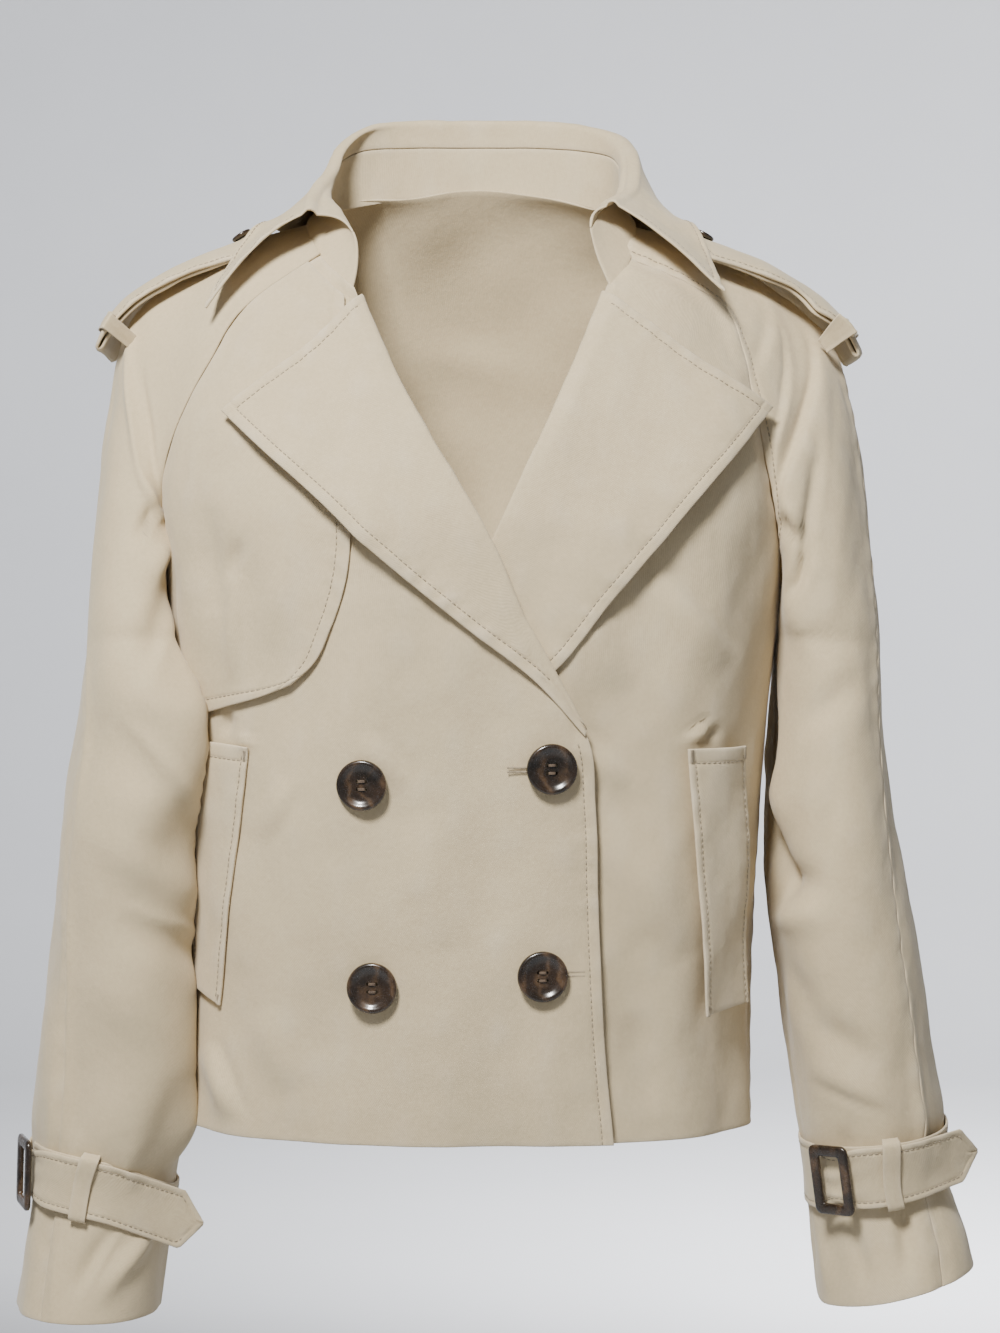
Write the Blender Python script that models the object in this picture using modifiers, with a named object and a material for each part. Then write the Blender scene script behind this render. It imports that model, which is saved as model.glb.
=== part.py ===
"""Cropped double-breasted raglan trench coat, worn shape, held open by its wearer.

Metres in the scene, millimetres in the tables. +X is the picture's right (the wearer's
left), +Z is up and the front faces -Y. The origin is the centre of the neck hole, level
with the side neck point. Every cloth piece is an open sheet with Solidify: the fronts and
the back lie on one body surface of oval rings, and each sleeve is a loft between the
shoulder ridge and the raglan seam, then round the arm.
"""
import math

import bpy
import numpy as np
from mathutils import Matrix, Vector

MM = 0.001
CLOTH = 1.4          # doubled coat cloth
GAP = 0.6            # between neighbouring pieces at a seam
HEM_Z = -529.0
WAIST_Y = 5.0        # the body rings' widest place, front to back
ROUND = 0.8          # superellipse power of the body rings (1 is an ellipse)

# Body rings: half width, depth in front of and behind WAIST_Y.
BODY = {
    "z":     [-545, -450, -350, -250, -190, -150, -121, -100, -80, -57, -41, -19, 3, 22, 38],
    "half":  [167.5, 168, 172.5, 181, 187, 190, 189, 186, 181, 172, 160, 150, 124, 97, 60],
    "front": [116, 118, 121, 126, 127, 119, 110, 101, 91, 78, 67.5, 46, 30, 22, 18],
    "rear":  [116, 111, 107, 110, 114, 115, 114, 113, 110, 107, 104, 98, 90, 80, 70],
}
# Raglan seams on the body surface, neck to underarm: height and distance from the centre.
SEAM_RIGHT = {"z": [-20, -57, -85, -103, -130, -151, -180, -210],
              "x": [88, 134, 150, 160, 172, 178, 181, 183]}
SEAM_LEFT = {"z": [-20, -47, -75, -101, -130, -153, -178, -211],
             "x": [88, 144, 158, 163, 168, 172, 177, 181]}
SEAM_BACK = {"z": [22, -20, -60, -100, -150, -200],
             "x": [86, 112, 132, 148, 162, 176]}
SEAM_LOW_Z = -176.0    # below here the seams run evenly round to the side seam

# Sleeve stations, neck to cuff: overarm point o, seam or underarm point u, bulge in front
# and behind, and tube: 0 leaves the body smoothly, 1 closes round the arm.
SLEEVE_RIGHT = {
    "oz":    [3, -6, -16, -30, -44, -58, -76, -100, -130, -170, -210, -246,
              -290, -330, -370, -410, -450, -490, -526, -556, -580, -606, -637],
    "ox":    [94, 125, 143, 169, 190, 203, 211, 215, 219, 223, 227, 230,
              234, 239, 244, 248, 251, 255, 257, 256, 259, 264, 269],
    "oy":    [-2, -1, 0, 2, 4, 4, 4, 4, 3, 2, 0, -2, -4, -6, -8, -10, -12, -14, -15, -16, -17, -18, -20],
    "uz":    [-20, -38, -57, -72, -88, -103, -122, -140, -160, -184, -214, -243,
              -290, -330, -372, -412, -452, -492, -528, -558, -582, -608, -639],
    "ux":    [188, 188, 188, 188, 188, 188, 188, 188, 188, 188, 188, 188, 174, 168, 168, 171,
              170, 168, 170, 176, 178, 181, 185],
    "uy":    [6, 6, 6, 6, 6, 6, 6, 6, 6, 6, 6, 6, 10, 8, 4, 0, -4, -8, -12, -14, -16, -18, -20],
    "front": [8, 12, 17, 24, 30, 36, 42, 48, 54, 63, 75, 90, 103, 103, 94, 84, 76, 68, 62, 53, 51,
              53, 55],
    "rear":  [8, 12, 17, 24, 30, 36, 42, 48, 54, 60, 64, 68,
              66, 64, 62, 60, 56, 52, 48, 43, 42, 44, 46],
    "hug":   [0, 0, 0, 0, 0, 0, 0, 0, 2, 10, 28, 52, 78, 62, 42, 30, 28, 28, 20, 6, 2, 0, 0],
    "tube":  [0, 0, 0, 0, 0.02, 0.06, 0.13, 0.24, 0.4, 0.58, 0.77, 0.92,
              1, 1, 1, 1, 1, 1, 1, 1, 1, 1, 1],
}
SLEEVE_LEFT = {
    "oz":    [3, -6, -16, -30, -46, -62, -80, -104, -132, -168, -210, -248,
              -294, -336, -378, -418, -456, -496, -526, -554, -574, -594, -612],
    "ox":    [94, 126, 146, 173, 196, 212, 222, 228, 233, 237, 241, 244,
              246, 250, 256, 262, 268, 274, 279, 278, 284, 292, 296],
    "oy":    [-2, -1, 0, 2, 4, 4, 4, 4, 3, 2, 0, -2, -4, -6, -8, -10, -12, -14, -15, -16, -17, -18, -20],
    "uz":    [-20, -36, -54, -70, -86, -102, -121, -140, -160, -184, -214, -243,
              -294, -336, -378, -418, -456, -494, -528, -558, -582, -608, -636],
    "ux":    [188, 188, 188, 188, 188, 188, 188, 188, 188, 188, 188, 188,
              180, 177, 176, 179, 185, 191, 196, 200, 202, 204, 206],
    "uy":    [6, 6, 6, 6, 6, 6, 6, 6, 6, 6, 6, 6, 10, 8, 4, 0, -4, -8, -12, -14, -16, -18, -20],
    "front": [8, 12, 17, 24, 30, 36, 42, 48, 54, 60, 66, 70,
              72, 72, 70, 68, 66, 62, 58, 50, 47, 49, 51],
    "rear":  [8, 12, 17, 24, 30, 36, 42, 48, 54, 60, 64, 68,
              66, 64, 62, 60, 56, 52, 48, 42, 40, 42, 44],
    "hug":   [0, 0, 0, 0, 0, 0, 0, 0, 2, 4, 8, 12,
              16, 14, 12, 8, 4, 2, 0, 0, 0, 0, 0],
    "tube":  [0, 0, 0, 0, 0.02, 0.06, 0.13, 0.24, 0.4, 0.58, 0.77, 0.92,
              1, 1, 1, 1, 1, 1, 1, 1, 1, 1, 1],
}
# Where the overarm seam lies: 0 on the ridge, towards 1 round the front of the arm.
OVERARM = {"t": [0, 4, 8, 12, 16, 19, 22], "q": [0.0, 0.02, 0.14, 0.2, 0.26, 0.3, 0.34]}

# Front edges, hem to neck, on the body surface (the roll line above the break).
EDGE_RIGHT = {"z": [-529, -450, -390, -340, -305, -264, -233, -194, -152, -100, -60, -43],
              "x": [79, 73, 71, 69.5, 66, 46, 29, 12, -13, -42, -60, -67]}
EDGE_LEFT = {"z": [-529, -450, -390, -340, -305, -253, -223, -194, -152, -122, -80, -41],
             "x": [-50, -50, -49, -49, -48, -18, -3, 12, 32, 46, 64, 79]}

# Turned-out lapels: roll-line height, outer edge height and distance, gorge to break.
LAPEL_RIGHT = {"roll": [-52, -100, -150, -200, -240, -275, -298],
               "z": [-121, -152, -184, -214, -241, -269, -300],
               "x": [-135, -103, -68, -34, -1, 35, 63]}
LAPEL_LEFT = {"roll": [-47, -90, -130, -165, -195, -225, -250],
              "z": [-115, -152, -190, -228, -265, -284, -296],
              "x": [167, 138, 107, 76, 46, 10, -14]}
# Storm flap on the wearer's right: front edge and hem, as height and distance.
FLAP_EDGE = {"z": [-47, -110, -150, -184, -216, -240, -262, -272],
             "x": [-73, -69, -66, -65, -68, -76, -88, -100]}
FLAP_TOP = (-92, -27)
FLAP_SIDE = (-167, -293)
FLAP_TUCK = 7.0         # how far its side draws in towards the hem, under the sleeve
FLAP_HEM = {"x": [-100, -118, -136, -154, -170], "z": [-272, -279, -284, -289, -293]}

# Welts: corners as distance, height: top front, top back, bottom back, bottom front.
WELT_RIGHT = ((-124, -307), (-158, -303), (-161, -446), (-143, -456))
WELT_LEFT = ((117, -307), (151, -306), (154.5, -455), (129, -460))
BUTTONS = {"button_right_top": (-58.5, -327), "button_left_top": (45, -318),
           "button_right_low": (-53, -440), "button_left_low": (40, -433.5)}
BUTTON_R = 14.2

# Collar stations from the front end to the centre back, for the wearer's left; the right
# side's front end sits COLLAR_SHIFT lower and nearer the centre.
COLLAR = {
    "s":  [0, 1, 2, 3, 4, 5, 6, 7],
    "nx": [79.5, 90, 95, 93, 86, 64, 34, 0],
    "ny": [-58, -35, -8, 24, 47, 63, 73, 77],
    "nz": [-40, -18, 4, 15, 23, 31, 36, 38],
    "bx": [69, 76, 86, 90, 86, 68, 37, 0],
    "by": [-45, -28, -6, 23, 46, 64, 75, 80],
    "bz": [-6, 7, 18, 37, 52, 60, 64, 65],
    "fx": [82, 88, 96, 98, 92, 70, 38, 0],
    "fy": [-43, -27, -5, 24, 49, 69, 80, 85],
    "fz": [11, 16, 27, 48, 66, 77, 82, 83],
    "ex": [147, 142, 133, 124, 112, 84, 45, 0],
    "ey": [-63, -40, -14, 22, 56, 86, 104, 109],
    "ez": [-45, -24, 7, 13, 14, 8, 2, 0],
    "up": [6, 0, -9, -13, -10, -4, 2, 4],
}
# Soft folds down the body: angle in degrees at the hem and at the top, the top's height,
# and the fold's height and half width in degrees. 0 is centre front, 180 centre back.
DRAPE = {
    "hem":  [44, -40, 72, -78, 112, 148, 186, 222, 254],
    "top":  [27, -31, 66, -70, 118, 158, 180, 205, 240],
    "z":    [-250, -300, -380, -380, -150, -120, -180, -150, -120],
    "high": [2.2, 2.0, 3.0, 3.2, 3.6, 3.8, 2.8, 3.8, 3.6],
    "wide": [9, 9, 9, 10, 11, 11, 11, 11, 11],
}
# Sleeve folds: start and end as station t and turn q, height off the cloth, half width.
FOLDS_RIGHT = (
    (4.9, 0.1, 7.6, 0.61, 2.2, 16), (7.6, 0.61, 8.8, 0.9, 2.0, 16),
    (9.4, 0.86, 10.3, 0.56, 3.4, 18), (12.4, 0.85, 13.4, 0.5, 3.2, 18),
    (13.6, 0.9, 14.4, 0.55, -3.0, 18), (15.2, 0.9, 15.8, 0.5, 2.4, 18),
    (20.2, 0.69, 21.7, 0.6, -4.2, 14), (20.4, 0.9, 21.5, 0.82, 3.0, 13),
    (19.9, 0.31, 21.8, 0.4, -2.6, 12), (9.4, -0.9, 10.4, -0.5, 3.4, 18),
    (12.6, -0.85, 13.5, -0.4, 3.2, 18), (13.9, -0.9, 14.7, -0.45, -3.0, 18),
    (20.1, -0.5, 21.7, -0.45, -3.0, 14),
)
FOLDS_LEFT = (
    (3.3, 0.33, 4.6, 0.85, 2.0, 14), (3.9, 0.2, 6.0, 0.78, -2.0, 14),
    (5.0, 0.28, 7.2, 0.68, 2.6, 14), (7.2, 0.68, 8.6, 0.88, 2.6, 15),
    (8.2, 0.56, 9.8, 0.6, -3.6, 15), (9.6, 0.78, 10.5, 0.84, 4.2, 16),
    (12.5, 0.92, 13.3, 0.55, 3.2, 18), (13.4, 0.95, 14.4, 0.72, -4.0, 17),
    (14.8, 0.9, 15.4, 0.6, 3.0, 18), (19.4, 0.43, 21.2, 0.48, -3.4, 12),
    (20.6, 0.7, 21.8, 0.62, 3.0, 14), (9.6, -0.9, 10.6, -0.5, 3.4, 18),
    (12.8, -0.85, 13.7, -0.4, 3.2, 18), (14.1, -0.9, 14.9, -0.45, -3.0, 18),
    (20.1, -0.55, 21.7, -0.5, -3.0, 14),
)
STATION_MM, TURN_MM = 30.0, 135.0    # rough cloth length of one t and of one q
# What the wearer's right side adds to the collar's front stations.
COLLAR_RIGHT_SHIFTS = {
    "nx": (-12, -5), "nz": (-3, -1), "bx": (-1, 0, -2, -5, -4), "bz": (-2, -1, -2, -8, -4),
    "fx": (12, 6, -3, -12, -12, -6), "fz": (-5, -2, -2, -6, -4), "ex": (6, 2, -4, -8, -6, -4),
    "ez": (-10, -6, -2, 2, 2), "up": (8, 3),
}
EPAULETTE_W = 40.0
EPAULETTE_THICK = 2.4
EPAULETTE_T = (0.9, 5.85)    # sleeve stations between its neck end and its fold
LOOP_W = 10.0
STRAP_W = 34.0
BUCKLE = (27.0, 41.0, 6.4, 3.6)    # width, height, bar and depth of the frame
# Height of the strap's middle, by turn: 0 outside, 0.25 front, 0.5 inside, 0.75 rear.
STRAP_RIGHT = {"turn": [0, 0.25, 0.5, 0.75, 1.0], "z": [-555, -561, -581, -572, -555]}
STRAP_LEFT = {"turn": [0, 0.25, 0.5, 0.75, 1.0], "z": [-545, -551, -555, -540, -545]}
UNDERARM_Z = -243.0
SEAM_T = np.linspace(0, 11, 16)    # sleeve stations down the raglan seam
SIDE_ROWS = 9
FRONT, BEHIND, ABOVE = np.array([0, -1.0, 0]), np.array([0, 1.0, 0]), np.array([0, 0, 1.0])
SLEEVE_CLEAR = 6.0                 # between a sleeve and the body it hangs against


def column(table, key, name, at):
    """Smooth Hermite curve through one column of a table, at the values of its key column."""
    xs = np.asarray(table[key], float)
    ys = np.asarray(table[name], float)
    if xs[0] > xs[-1]:
        xs, ys = xs[::-1], ys[::-1]
    at = np.clip(np.asarray(at, float), xs[0], xs[-1])
    step = np.diff(xs)
    slope = np.diff(ys) / step
    tangent = np.empty(len(xs))
    tangent[1:-1] = (slope[:-1] * step[1:] + slope[1:] * step[:-1]) / (step[1:] + step[:-1])
    flat = slope[:-1] * slope[1:] <= 0
    tangent[1:-1][flat] = 0
    tangent[0], tangent[-1] = slope[0], slope[-1]
    i = np.clip(np.searchsorted(xs, at, side="right") - 1, 0, len(step) - 1)
    h = step[i]
    s = (at - xs[i]) / h
    a = ys[i] * (1 + 2 * s) * (1 - s) ** 2 + tangent[i] * h * s * (1 - s) ** 2
    return a + ys[i + 1] * s * s * (3 - 2 * s) + tangent[i + 1] * h * s * s * (s - 1)


def power(v, e):
    """Signed power."""
    return np.sign(v) * np.abs(v) ** e


def smooth(v, low, high):
    """Smooth step from 0 at low to 1 at high."""
    s = np.clip((np.asarray(v, float) - low) / (high - low), 0, 1)
    return s * s * (3 - 2 * s)


def unit(v):
    return v / np.maximum(np.linalg.norm(v, axis=-1, keepdims=True), 1e-9)


def angle_at(x, z):
    """Angle on the front of the ring at height z for a distance x from the centre."""
    return np.arcsin(np.clip(power(x / column(BODY, "z", "half", z), 1 / ROUND), -1, 1))


def seam_angle(seam, z):
    """Angle of a raglan seam: from its table, then evenly round to the side at the underarm."""
    above = np.maximum(z, SEAM_LOW_Z)
    angle = angle_at(column(seam, "z", "x", above), above)
    low = np.clip((SEAM_LOW_Z - z) / (SEAM_LOW_Z - UNDERARM_Z), 0, 1)
    return angle * (1 - low) + math.pi / 2 * low


def body(angle, z, out=0.0):
    """Body surface: angle 0 at centre front, +90 at the wearer's left side, 180 behind."""
    angle, z = np.broadcast_arrays(np.asarray(angle, float), np.asarray(z, float))

    def at(a, h):
        cos = np.cos(a)
        depth = np.where(cos > 0, column(BODY, "z", "front", h), column(BODY, "z", "rear", h))
        x = column(BODY, "z", "half", h) * power(np.sin(a), ROUND)
        return np.stack([x, WAIST_Y - depth * power(cos, ROUND), h], axis=-1)

    along = at(angle + 0.02, z) - at(angle - 0.02, z)
    up = at(angle, z + 3) - at(angle, z - 3)
    lift = drape(angle, z) + np.asarray(out, float)
    return at(angle, z) + unit(np.cross(along, up)) * lift[..., None]


def drape(angle, z):
    """Height of the body's soft folds."""
    total = np.zeros(np.shape(angle))
    for hem, top, high_z, high, wide in zip(*DRAPE.values()):
        share = np.clip((z - HEM_Z) / (high_z - HEM_Z), 0, 1)
        middle = math.radians(hem) * (1 - share) + math.radians(top) * share
        off = np.mod(angle - middle + math.pi, 2 * math.pi) - math.pi
        total += high * (1 - smooth(share, 0.35, 1)) * np.exp(-(off / math.radians(wide)) ** 2)
    return total


def fold_height(folds, t, q):
    """Height of a sleeve's folds, each a soft ridge or trough along a line in t and q."""
    total = np.zeros(np.shape(t))
    for t0, q0, t1, q1, high, wide in folds:
        a, b = (t1 - t0) * STATION_MM, (q1 - q0) * TURN_MM
        x, y = (t - t0) * STATION_MM, (q - q0) * TURN_MM
        along = np.clip((x * a + y * b) / (a * a + b * b), 0, 1)
        near = np.hypot(x - a * along, y - b * along)
        total += high * np.exp(-(near / wide) ** 2) * (0.45 + 0.55 * np.sin(math.pi * along))
    return total


def on_front(x, z, out=0.0):
    return body(angle_at(np.asarray(x, float), np.asarray(z, float)), z, out)


def layer_right(x, z):
    """Height of the overlapping front's outside over the body surface."""
    edge = column(EDGE_LEFT, "z", "x", z)
    return 6.0 * smooth(x, np.minimum(edge - 80, -78), np.minimum(edge - 14, -14))


def over_front(x, z, more=0.0):
    """Outside height of a piece laid on the wearer's right front, clear of its facets."""
    edge = smooth(np.abs(x), 128, 158) + smooth(z, -75, -45)
    return layer_right(x, z) + CLOTH + 1.25 + 1.0 * edge + more


def material(name, colour, roughness, metallic=0.0):
    found = bpy.data.materials.get(name)
    if found:
        return found
    made = bpy.data.materials.new(name)
    made.use_nodes = True
    shader = made.node_tree.nodes["Principled BSDF"]
    shader.inputs["Base Color"].default_value = (*colour, 1)
    shader.inputs["Roughness"].default_value = roughness
    shader.inputs["Metallic"].default_value = metallic
    return made


def add_object(name, verts, faces, look, smooth_shade=True):
    """One named object with its origin at its middle."""
    verts = np.asarray(verts, float)
    middle = (verts.min(axis=0) + verts.max(axis=0)) / 2
    mesh = bpy.data.meshes.new(name)
    mesh.from_pydata(((verts - middle) * MM).tolist(), [], faces)
    mesh.materials.append(look)
    if smooth_shade:
        mesh.shade_smooth()
        mesh.set_sharp_from_angle(angle=math.radians(40))
    obj = bpy.data.objects.new(name, mesh)
    obj.location = middle * MM
    obj.parent = ROOT
    PARTS.objects.link(obj)
    return obj


def sheet(name, grid, look, facing, thick=CLOTH, trim=(1, 1, 1, 1), at=None):
    """A cloth wall: the grid is its outside, and Solidify adds the thickness inwards.

    facing is the way that the outside looks at quad at (the middle one if not given), and
    trim moves the first row, last row, first column and last column in by half a gap.
    """
    grid = np.array(grid, float)
    i, j = at or ((len(grid) - 1) // 2, (grid.shape[1] - 1) // 2)
    normal = np.cross(grid[i, j + 1] - grid[i, j], grid[i + 1, j] - grid[i, j])
    flip = (normal * np.asarray(facing, float)).sum() < 0
    for on, axis, end, near in zip(trim, (0, 0, 1, 1), (0, -1, 0, -1), (1, -2, 1, -2)):
        if on:
            rim = np.take(grid, end, axis)
            step = np.take(grid, near, axis) - rim
            moved = rim + unit(step) * GAP / 2 * on
            if axis == 0:
                grid[end] = moved
            else:
                grid[:, end] = moved
    rows, cols = grid.shape[:2]
    faces = []
    for i in range(rows - 1):
        for j in range(cols - 1):
            quad = (i * cols + j, i * cols + j + 1, (i + 1) * cols + j + 1, (i + 1) * cols + j)
            faces.append(quad[::-1] if flip else quad)
    obj = add_object(name, grid.reshape(-1, 3), faces, look)
    solid = obj.modifiers.new("cloth", "SOLIDIFY")
    solid.thickness = thick * MM
    solid.offset = -1
    solid.use_even_offset = True
    solid.thickness_clamp = 0
    return obj


def panel(left, right, cols, out):
    """Grid on the body surface between two (angle, z) edge curves."""
    across = np.linspace(0, 1, cols)[None, :]
    angle = left[:, :1] * (1 - across) + right[:, :1] * across
    z = left[:, 1:] * (1 - across) + right[:, 1:] * across
    return body(angle, z, out(body(angle, z)[..., 0], z))


def side_to_neck(table, seam, sign):
    """(angle, z) up the side seam from the hem, then up the raglan seam to the neck."""
    low = np.linspace(HEM_Z, UNDERARM_Z, SIDE_ROWS)[:-1]
    z = column(dict(table, t=np.arange(len(table["uz"]))), "t", "uz", SEAM_T[::-1])
    angle = seam_angle(seam, z)
    both = np.concatenate([np.full(len(low), math.pi / 2), angle])
    return np.stack([sign * both, np.concatenate([low, z])], axis=1)


def edge_curve(edge):
    """(angle, z) up a front edge, in step with the side seam's rows."""
    share = np.concatenate([
        np.linspace(0, 0.56, SIDE_ROWS)[:-1], np.linspace(0.56, 1, len(SEAM_T))])
    z = edge["z"][0] + (edge["z"][-1] - edge["z"][0]) * share
    return np.stack([angle_at(column(edge, "z", "x", z), z), z], axis=1)


def back_seam(t):
    """(angle, z) of the back raglan seam at sleeve station t, on the wearer's left."""
    down = np.clip(np.asarray(t, float) / SEAM_T[-1], 0, 1)
    z = SEAM_BACK["z"][0] + (UNDERARM_Z - SEAM_BACK["z"][0]) * down
    return math.pi - seam_angle(SEAM_BACK, z), z


def sleeve_section(table, seam, sign, t, q):
    """Sleeve surface: t runs neck to cuff, q from the back seam (-1) over o (0) to u (+1)."""
    key = np.arange(len(table["oz"]))
    rows = dict(table, t=key)
    t, q = np.broadcast_arrays(np.asarray(t, float), np.asarray(q, float))

    def get(name):
        return column(rows, "t", name, t)

    o = np.stack([sign * get("ox"), get("oy"), get("oz")], axis=-1)
    tube = get("tube")[..., None]
    uz = get("uz")
    arm = np.stack([sign * get("ux"), get("uy"), uz], axis=-1)
    apart = 0.6 * smooth(t, 5, 8)
    front_seam = body(sign * seam_angle(seam, uz), uz, apart)
    angle, zb = back_seam(t)
    in_arm = smooth(t, SEAM_T[-1], SEAM_T[-1] + 1.2)[..., None]
    front = (q >= 0)[..., None]
    u = np.where(front, front_seam, body(sign * angle, zb, apart)) * (1 - in_arm) + arm * in_arm
    depth = np.where(q >= 0, get("front"), get("rear"))[..., None]
    way = np.where(front, -1.0, 1.0) * np.array([0, 1.0, 0])
    centre = np.stack([np.zeros_like(uz), np.full(uz.shape, WAIST_Y), u[..., 2]], axis=-1)
    normal = unit((u - centre) * np.array([1, 2.2, 1]))
    chord = o - u
    flat = chord - (chord * normal).sum(axis=-1, keepdims=True) * normal
    c1 = o + way * depth * (0.62 + 0.71 * tube)
    c2 = u + flat * 0.42 * (1 - tube) + way * depth * 1.33 * tube
    c2[..., 0] -= sign * np.where(q >= 0, get("hug"), 0)
    s = np.abs(q)[..., None]
    p = o * (1 - s) ** 3 + 3 * c1 * s * (1 - s) ** 2 + 3 * c2 * s * s * (1 - s) + u * s ** 3
    folds = fold_height(FOLDS_RIGHT if sign < 0 else FOLDS_LEFT, t, q)
    hold = smooth(1 - np.abs(q), 0, 0.12) * (1 - 0.8 * smooth(8 - np.abs(t - 19), 0, 7.4))
    core = (o + u) / 2 + np.array([0, 30.0, -25]) * (1 - tube) * np.array([1, 0, 1]) - way * 4
    p = p + unit(p - core) * (folds * hold)[..., None]
    apart = np.maximum(smooth(t, SEAM_T[-1], SEAM_T[-1] + 1.2), smooth(1 - np.abs(q), 0, 0.35))
    return keep_clear(p, smooth(t, 6, 9), SLEEVE_CLEAR * apart)


def keep_clear(p, amount, margin):
    """Moves arm points that would press into the body out to just clear of it."""
    half = column(BODY, "z", "half", p[..., 2]) + margin
    depth = column(BODY, "z", "front", p[..., 2]) + margin
    rear = column(BODY, "z", "rear", p[..., 2]) + margin
    y = p[..., 1] - WAIST_Y
    deep = np.where(y < 0, depth, rear)
    inside = np.abs(p[..., 0] / half) ** (2 / ROUND) + np.abs(y / deep) ** (2 / ROUND)
    grow = np.where(inside < 1, np.maximum(inside, 0.2) ** (-ROUND / 2), 1)
    grow = 1 + (grow - 1) * amount
    grow = np.where(p[..., 2] < HEM_Z - 12, 1, grow)
    moved = p.copy()
    moved[..., 0] = p[..., 0] * grow
    moved[..., 1] = WAIST_Y + y * grow
    return moved


def sleeve_surface(sign, t, q):
    if sign < 0:
        return sleeve_section(SLEEVE_RIGHT, SEAM_RIGHT, -1, t, q)
    return sleeve_section(SLEEVE_LEFT, SEAM_LEFT, 1, t, q)


def sleeve_out(sign, t, q, out):
    """A point over the sleeve's outside."""
    p = sleeve_surface(sign, t, q)
    dt = sleeve_surface(sign, np.minimum(t + 0.1, 22), q) - sleeve_surface(sign, t - 0.1, q)
    dq = sleeve_surface(sign, t, q + 0.03) - sleeve_surface(sign, t, q - 0.03)
    normal = unit(np.cross(dq, dt)) * sign
    return p + normal * np.asarray(out, float)[..., None]


def build_fronts(cloth):
    side = side_to_neck(SLEEVE_RIGHT, SEAM_RIGHT, -1)
    sheet("front_right", panel(side, edge_curve(EDGE_RIGHT), 13, layer_right), cloth, FRONT)
    side = side_to_neck(SLEEVE_LEFT, SEAM_LEFT, 1)
    sheet("front_left", panel(edge_curve(EDGE_LEFT), side, 13, lambda x, z: 0 * x), cloth, FRONT)


def build_back(cloth):
    angle, z = back_seam(SEAM_T[::-1])
    low = np.linspace(HEM_Z, UNDERARM_Z, SIDE_ROWS)[:-1]
    angle = np.concatenate([np.full(len(low), math.pi / 2), angle])[:, None]
    z = np.concatenate([low, z])[:, None]
    across = np.linspace(-1, 1, 17)[None, :]
    rise = 16 * (1 - across ** 2) * smooth(z, -200, 22)
    sheet("back", body(math.pi - (math.pi - angle) * across, z + rise), cloth, BEHIND)


def build_sleeves(cloth):
    t = np.concatenate([SEAM_T, np.linspace(SEAM_T[-1], 22, 17)[1:]])[:, None]
    seam = column(OVERARM, "t", "q", t)
    for side, sign in (("right", -1), ("left", 1)):
        fore = seam + (1 - seam) * np.linspace(0, 1, 11)[None, :]
        hind = seam + (-1 - seam) * np.linspace(0, 1, 9)[None, :]
        sheet(f"sleeve_{side}_front", sleeve_surface(sign, t, fore), cloth, FRONT,
              trim=(1, 1, 2.6, 1))
        sheet(f"sleeve_{side}_back", sleeve_surface(sign, t, hind), cloth, BEHIND,
              trim=(1, 1, 2.6, 1))


def lapel_grid(table, edge, rows, cols, over, roll):
    """Lapel from its roll line to its outer edge, standing off the front it lies on."""
    n = len(table["z"])
    rows_table = dict(table, t=np.arange(n))
    t = np.linspace(0, n - 1, rows)[:, None]
    w = np.linspace(0, 1, cols)[None, :] ** 1.3
    zr = column(rows_table, "t", "roll", t)
    xr = column(edge, "z", "x", zr)
    zo = column(rows_table, "t", "z", t)
    xo = column(rows_table, "t", "x", t)
    x = xr + (xo - xr) * w
    z = zr + (zo - zr) * w
    reach = np.hypot(xo - xr, zo - zr) * w
    lift = over(x, z) + CLOTH + 1.0 + roll(t) * np.exp(-(reach / 24) ** 2) * smooth(reach, -4, 9)
    return on_front(x, z, lift + 1.0 * smooth(w, 0.55, 1) * smooth(roll(t), 0.6, 1.4))


def build_lapels(cloth):
    def over_right(x, z):
        return layer_right(x, z) + 2.2 * smooth(-x, 34, 58)

    grid = lapel_grid(LAPEL_RIGHT, EDGE_RIGHT, 13, 8, over_right, lambda t: 3.4 - 0.45 * t)
    sheet("lapel_right", grid, cloth, FRONT)
    grid = lapel_grid(LAPEL_LEFT, EDGE_LEFT, 13, 8, lambda x, z: 0 * x,
                      lambda t: 0.4 + 3.0 * smooth(-t, -3.4, -1.2))
    sheet("lapel_left", grid, cloth, FRONT)


def build_flap(cloth):
    """Storm flap: sewn in at the neck and the raglan seam, loose at its front edge and hem."""
    rows = 14
    down = np.linspace(0, 1, rows)
    zf = FLAP_EDGE["z"][0] + (FLAP_EDGE["z"][-1] - FLAP_EDGE["z"][0]) * down
    front = np.stack([column(FLAP_EDGE, "z", "x", zf), zf], axis=1)
    zs = FLAP_TOP[1] + (FLAP_SIDE[1] - FLAP_TOP[1]) * down
    seam = 2.5 - column(SEAM_RIGHT, "z", "x", zs)
    low = FLAP_SIDE[0] + FLAP_TUCK * smooth(-zs, 225, 290)
    side = np.where(zs < -170, np.maximum(seam, low), seam)
    back = np.stack([side, zs], axis=1)
    across = np.linspace(0, 1, 10)[None, :, None]
    flat = front[:, None] * (1 - across) + back[:, None] * across
    hem = column(FLAP_HEM, "x", "z", flat[-1, :, 0])
    flat[..., 1] += smooth(down, 0.5, 1)[:, None] * (hem - flat[-1, :, 1])[None, :]
    x, z = flat[..., 0], flat[..., 1]
    sheet("gun_flap", on_front(x, z, over_front(x, z)), cloth, FRONT)


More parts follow.
